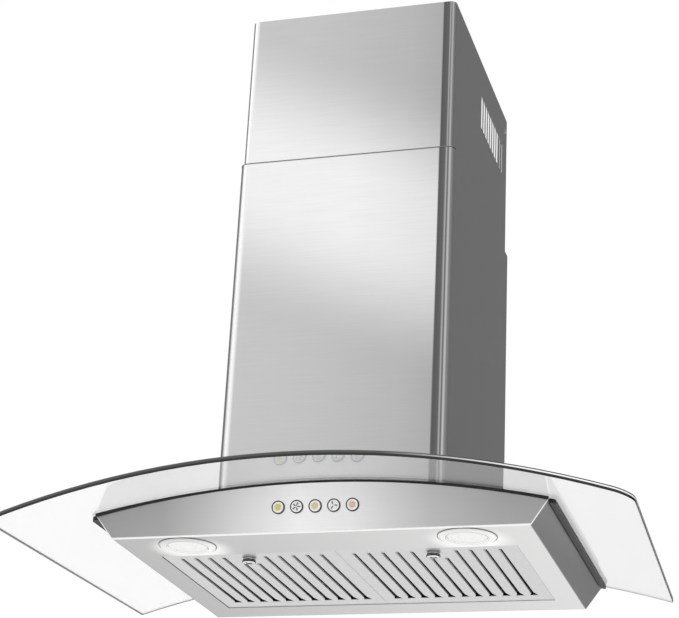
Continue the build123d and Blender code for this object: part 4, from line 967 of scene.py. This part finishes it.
@dataclass
class Lamps:
    """The two recessed lamps: a stepped ring round a frosted lens.

    Attributes:
        x: Distance of each lamp from mid-width, in metres.
        y: Place front to back.
        lens: The lens's radius.
        ring: The ring's outer radius.
        drop: How far the ring stands below the pan.
        shade_lines: Radii of the thin grey rings painted as shade lines round the ring and round the lens.
    """

    x: float = 0.172
    y: float = -0.348
    lens: float = 0.024
    ring: float = 0.0345
    drop: float = 0.0022
    shade_lines: tuple[float, ...] = (0.0349, 0.0254)

    def build(self, finishes: Materials) -> None:
        """Build both lamps.

        Args:
            finishes: The built finishes.
        """
        for side, sign in SIDES:
            seat = Matrix.Translation((sign * self.x, self.y, 0.0))
            ring = spin_profile(f"lamp_ring_{side}", self.ring_profile(), seat, 96)
            # the ring wears the pan's finish, painted lamp light included
            place(ring, "hood", "polished_steel", finishes.made["bottom_pan"], f"lamp_bezel_{side}")
            # painted shade: thin grey rings where shade lines fall round the ring and the lens
            for index, radius in enumerate(self.shade_lines):
                name = f"lamp_shade_line_{side}_{index + 1}"
                shade_line = spin_profile(name, self.shade_line_profile(radius), seat, 96)
                place(shade_line, "hood", "seal_rubber", finishes.made["lamp_shade_line"])
            lens = spin_profile(f"lamp_diffuser_{side}", self.lens_profile(), seat, 72)
            place(lens, "hood", "lamp_lens", finishes.made["lamp_lens"], f"lamp_lens_{side}")

    def ring_profile(self) -> tuple:
        """A ring with a soft outer roll, one groove and a sleeve up through the pan, as a closed loop."""
        ring, lens, low = self.ring, self.lens, -self.drop
        return (
            (0.0286, 0.0), (ring, 0.0), (ring, -0.0005), (ring - 0.0006, -0.0013),
            (ring - 0.0022, low + 0.0002), (ring - 0.0040, low), (0.0288, low),
            (0.0284, low + 0.0008), (0.0280, low + 0.0008), (0.0276, low),
            (lens + 0.0012, low), (lens + 0.0002, low + 0.0008),
            (lens + 0.0002, 0.0100), (0.0286, 0.0100), (0.0286, 0.0),
        )

    def shade_line_profile(self, radius: float) -> tuple:
        """A flat round-cornered bead that stands just proud of the face below it, grey as painted shade, as a
        closed loop.
        """
        low = -0.0008 if radius > self.ring else -self.drop - 0.0001
        return (
            (radius - 0.0003, 0.0), (radius + 0.0003, 0.0), (radius + 0.0003, low + 0.0002),
            (radius + 0.0001, low), (radius - 0.0001, low), (radius - 0.0003, low + 0.0002),
            (radius - 0.0003, 0.0),
        )

    def lens_profile(self) -> tuple:
        """A shallow lens with two pressed rings and a flat back."""
        low, rim = -0.0011, self.lens - 0.0001
        return (
            (0.0, low), (0.0100, low), (0.0106, low + 0.0006), (0.0112, low), (0.0180, low),
            (0.0186, low + 0.0006), (0.0192, low), (self.lens - 0.0008, low + 0.0002), (rim, low + 0.0010),
            (rim, 0.0019), (0.0, 0.0019),
        )


@dataclass
class Latches:
    """The knobs that pull the filters' latch bolts.

    Attributes:
        x: Distance of each knob from mid-width, in metres.
        y: Place front to back.
        ring_half: Half of the thickness of a black ring of painted shade.
    """

    x: float = 0.116
    y: float = -0.281
    ring_half: float = 0.0009

    def build(self, finishes: Materials) -> None:
        """Build both knobs, each with a waist, a grooved head and a washer, and black rings of painted shade.

        Args:
            finishes: The built finishes.
        """
        profile = (
            (0.0, -0.0040), (0.0040, -0.0040), (0.0044, -0.0046), (0.0066, -0.0046), (0.0078, -0.0042),
            (0.0080, -0.0036), (0.0080, -0.0024), (0.0076, -0.0020), (0.0068, -0.0020), (0.0066, -0.0010),
            (0.0068, -0.0004), (0.0068, 0.0005), (0.0030, 0.0005), (0.0030, 0.0020), (0.0, 0.0020),
        )
        # painted shade: black rings at the knob's rim, face and waist
        rings = {"rim": (0.0078, -0.0034), "face": (0.0042, -0.0037), "waist": (0.0072, -0.0014)}
        for side, sign in SIDES:
            seat = Matrix.Translation((sign * self.x, self.y, 0.0))
            knob = spin_profile(f"latch_pull_{side}", profile, seat, 36)
            steel = finishes.made["polished_steel"]
            place(knob, f"latch_{side}", "polished_steel", steel, f"latch_knob_{side}")
            for name, (radius, height) in rings.items():
                ring = spin_profile(f"latch_{name}_ring_{side}", self.ring_profile(radius, height), seat, 36)
                place(ring, f"latch_{side}", "polished_steel", finishes.made["knob_shade_ring"])

    def ring_profile(self, radius: float, height: float) -> tuple:
        """A thick black ring of painted shade let into the knob, as a closed loop."""
        half, corner = self.ring_half, self.ring_half * 0.7
        loop = ((-half, 0.0), (-corner, -corner), (0.0, -half), (corner, -corner), (half, 0.0),
                (corner, corner), (0.0, half), (-corner, corner), (-half, 0.0))
        return tuple((radius + out, height + up) for out, up in loop)


@dataclass
class Folds:
    """Bright rounded folds where the body's sheets meet, in white steel as a painted highlight.

    Attributes:
        half: Half of the body's width, in metres.
        top: Height up a side panel where its fold ends.
        slope: How far a side leans out for each metre of height.
        radius: The folds' radius.
        swell: How much thicker the front panel's lower fold is.
        rear: Where the beads along the sides end, at the back.
        beads: Each bead's distance from mid-width, its height, radius and slot.
    """

    half: float = 0.254
    top: float = 0.0285
    slope: float = 20.0 / 27.0
    radius: float = 0.0007
    swell: float = 1.8
    rear: float = -0.010
    beads: dict[str, tuple[float, float, float, str]] = field(default_factory=lambda: {
        # painted shade: a black bead where the gap between side panel and rail falls into shade
        "shade_gap_bead": (0.2752, 0.0272, 0.0016, "seal_rubber"),
        "bright_bead": (0.2782, 0.0266, 0.0006, "polished_steel"),
    })

    def build(self, finishes: Materials) -> None:
        """Build the front panel's lower fold, its two slanting folds and the beads along the sides.

        Args:
            finishes: The built finishes.
        """
        foot = panel_point(self.half, 0.0, 0.0)
        paths = {"fold_front": (Vector((-foot.x, foot.y, foot.z)), foot)}
        for side, sign in SIDES:
            up = self.top / math.cos(FRONT_LEAN)
            paths[f"fold_{side}"] = (Vector((sign * self.half, foot.y, foot.z)),
                                     panel_point(sign * (self.half + self.top * self.slope), up, 0.0))
        for name, (start, end) in paths.items():
            thick = self.radius * (self.swell if name == "fold_front" else 1.0)
            piece = self.bar(name, start, end, thick)
            # painted highlight: white steel, brighter than the sheet it folds from
            place(piece, "hood", "polished_steel", finishes.made["bright_fold"])
        for side, sign in SIDES:
            for name, (out, up, radius, key) in self.beads.items():
                start, end = Vector((sign * out, -BODY_DEPTH, up)), Vector((sign * out, self.rear, up))
                piece = self.bar(f"{name}_{side}", start, end, radius)
                place(piece, "hood", key, finishes.made[key])

    def bar(self, name: str, start: Vector, end: Vector, radius: float) -> bpy.types.Object:
        """A round-nosed bar between two points.

        Args:
            name: The piece's name.
            start: One end.
            end: The other end.
            radius: Its radius.

        Returns:
            The piece.
        """
        mesh = bmesh.new()
        run = end - start
        bmesh.ops.create_circle(mesh, cap_ends=True, radius=radius, segments=10)
        faces = list(mesh.faces)
        made = bmesh.ops.extrude_face_region(mesh, geom=faces, use_keep_orig=True)["geom"]
        raised = [item for item in made if isinstance(item, bmesh.types.BMVert)]
        bmesh.ops.translate(mesh, vec=(0.0, 0.0, run.length), verts=raised)
        rims = [edge for edge in mesh.edges if abs(edge.verts[0].co.z - edge.verts[1].co.z) < 1e-9]
        ends = [edge for edge in rims if len(edge.link_faces) == 2]
        bmesh.ops.bevel(mesh, geom=ends, offset=radius * 0.5, affect="EDGES",
                        segments=2, profile=0.5, material=-1)
        turn = Vector((0.0, 0.0, 1.0)).rotation_difference(run).to_matrix().to_4x4()
        bmesh.ops.transform(mesh, matrix=Matrix.Translation(start) @ turn, verts=mesh.verts)
        return finish_mesh(mesh, name)


@dataclass
class CoverHem:
    """The folded hem round the top of the lower chimney cover, darker grey as a painted shade line along the
    seam.

    Attributes:
        half: Half of the cover's width, in metres.
        depth: The cover's depth.
        corner: Its corners' radius.
        top: Height of the cover's top edge.
        height: The hem's height.
        proud: How far the hem stands out of the cover.
    """

    half: float = 0.143
    depth: float = 0.345
    corner: float = 0.011
    top: float = 0.514
    height: float = 0.0014
    proud: float = 0.0003

    def build(self, finishes: Materials) -> None:
        """Build the hem as a thin band across the front and round its corners.

        Args:
            finishes: The built finishes.
        """
        mesh = bmesh.new()
        bmesh.ops.create_cube(mesh, size=1.0)
        width, depth = 2 * (self.half + self.proud), self.depth + 2 * self.proud
        bmesh.ops.scale(mesh, vec=(width, depth, self.height), verts=mesh.verts)
        upright = [edge for edge in mesh.edges
                   if abs(edge.verts[0].co.z - edge.verts[1].co.z) > self.height / 2]
        bmesh.ops.bevel(mesh, geom=upright, offset=self.corner, affect="EDGES",
                        segments=8, profile=0.5, material=-1)
        caps = [face for face in mesh.faces if abs(face.normal.z) > 0.9]
        bmesh.ops.delete(mesh, geom=caps, context="FACES")
        bmesh.ops.translate(mesh, vec=(0.0, -self.depth / 2, self.top - self.height / 2), verts=mesh.verts)
        everything = mesh.verts[:] + mesh.edges[:] + mesh.faces[:]
        bmesh.ops.bisect_plane(mesh, geom=everything, plane_co=(0.0, self.corner - self.depth, 0.0),
                               plane_no=(0.0, 1.0, 0.0), clear_outer=True)
        bmesh.ops.recalc_face_normals(mesh, faces=mesh.faces)
        bmesh.ops.solidify(mesh, geom=mesh.faces[:], thickness=self.proud * 3)
        hem = finish_mesh(mesh, "cover_hem")
        # painted shade: the hem is darker grey than the cover, as a line along the seam
        place(hem, "hood", "brushed_steel", finishes.made["cover_hem"])


# ---------------------------------------------------------------- studio
@dataclass
class Studio:
    """The camera, the pale floor, the surroundings and the soft lights.

    Attributes:
        eye: The camera's place, in metres.
        yaw: Degrees that it looks to the left.
        pitch: Degrees that it looks up.
        roll: Degrees that it leans.
        lens: Focal length in millimetres, on a 36 mm sensor.
        floor: The floor's height.
    """

    eye: tuple[float, float, float] = (0.6466, -2.4504, -0.6246)
    yaw: float = 17.0
    pitch: float = 22.75
    roll: float = 2.9
    lens: float = 101.97
    floor: float = -2.8

    def build(self) -> None:
        """Build the whole studio."""
        self.camera()
        self.ground()
        self.surroundings()
        self.softbox("key", (-3.2, -1.0, 2.6), 2.4, 30.0, shadow=False)
        self.softbox("fill", (2.6, -2.6, -0.6), 2.0, 10.0)
        self.softbox("top", (-0.6, 0.8, 3.2), 2.6, 40.0)
        self.softbox("under_wash", (-1.1, 3.4, -1.62), 5.0, 18.0, Vector((0.0, 0.0, 1.0)))

    def camera(self) -> None:
        """Set the camera, looking up at the hood from below its right front corner."""
        yaw, pitch, roll = (math.radians(angle) for angle in (self.yaw, self.pitch, self.roll))
        ahead = Vector((-math.sin(yaw) * math.cos(pitch), math.cos(yaw) * math.cos(pitch), math.sin(pitch)))
        side = Vector((math.cos(yaw), math.sin(yaw), 0.0))
        above = side.cross(ahead)
        right = math.cos(roll) * side + math.sin(roll) * above
        top = -math.sin(roll) * side + math.cos(roll) * above
        data = bpy.data.cameras.new("camera")
        data.lens = self.lens
        data.sensor_width = 36.0
        data.clip_start = 0.01
        data.clip_end = 100.0
        camera = bpy.data.objects.new("camera", data)
        turn = Matrix((right, top, -ahead)).transposed().to_4x4()
        camera.matrix_world = Matrix.Translation(self.eye) @ turn
        bpy.context.scene.collection.objects.link(camera)
        bpy.context.scene.camera = camera
        bpy.context.scene.view_settings.view_transform = "Standard"

    def ground(self) -> None:
        """Lay a large pale floor far below the hood."""
        mesh = bmesh.new()
        bmesh.ops.create_circle(mesh, cap_ends=True, radius=30.0, segments=96)
        bmesh.ops.translate(mesh, vec=(0.0, 0.0, self.floor), verts=mesh.verts)
        floor = finish_mesh(mesh, "studio_floor")
        finish = Speckled("pale_matt_floor_paint", "f0f0ef", "f3f3f2", 90.0, 0.0, (0.8, 0.9), 0.0, lit=0.28)
        floor.data.materials.append(finish.build())

    def surroundings(self) -> None:
        """Surround the hood with white, darker behind and above it, as a dim room is behind a lit set."""
        world = bpy.data.worlds.new("studio")
        world.use_nodes = True
        tree = world.node_tree
        tree.nodes.clear()
        coords = node(tree, "TexCoord")
        toward = Vector((0.42, 0.80, 0.42)).normalized()
        facing = node(tree, "VectorMath", {"operation": "DOT_PRODUCT", 1: tuple(toward)},
                      i0=coords.outputs["Generated"])
        marks = ((0.0, "ffffff"), (0.35, "f6f6f6"), (0.62, "9c9c9c"), (0.85, "7a7a7a"), (1.0, "707070"))
        stops = [(at, linear(tone)) for at, tone in marks]
        grey = node(tree, "ValToRGB", {"stops": stops}, Fac=facing.outputs["Value"])
        room = node(tree, "Background", Color=grey.outputs["Color"])
        white = node(tree, "Background", {"Color": (1.0, 1.0, 1.0, 1.0)})
        path = node(tree, "LightPath")
        seen = node(tree, "Math", {"operation": "MAXIMUM"},
                    i0=path.outputs["Is Camera Ray"], i1=path.outputs["Is Transmission Ray"])
        mixed = node(tree, "MixShader", i0=seen.outputs["Value"], i1=room.outputs["Background"],
                     i2=white.outputs["Background"])
        node(tree, "OutputWorld", Surface=mixed.outputs["Shader"])
        bpy.context.scene.world = world

    def softbox(self, name: str, spot: tuple[float, float, float], size: float, power: float,
                toward: Vector | None = None, shadow: bool = True) -> None:
        """Add a square softbox.

        Args:
            name: The light's name.
            spot: Its place.
            size: Its width.
            power: Its power in watts.
            toward: Where it faces; at the hood if not given.
            shadow: Whether it casts shadows.
        """
        data = bpy.data.lights.new(name, "AREA")
        data.size = size
        data.energy = power
        data.use_shadow = shadow
        light = bpy.data.objects.new(name, data)
        light.visible_camera = False
        light.visible_transmission = False
        aim = toward or Vector((0.0, -0.2, 0.3)) - Vector(spot)
        light.matrix_world = Matrix.Translation(spot) @ aim.to_track_quat("-Z", "Y").to_matrix().to_4x4()
        bpy.context.scene.collection.objects.link(light)


def main() -> None:
    """Load the frame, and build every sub-assembly in order."""
    logging.basicConfig(level=logging.INFO, format="%(name)s: %(message)s")
    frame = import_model()
    finishes = Materials()
    finishes.build_all()
    Frame(frame["nodes"], frame["record"]).dress(finishes)
    Buttons().build(finishes)
    Lamps().build(finishes)
    Latches().build(finishes)
    Folds().build(finishes)
    CoverHem().build(finishes)
    Studio().build()


if __name__ == "__main__":
    main()
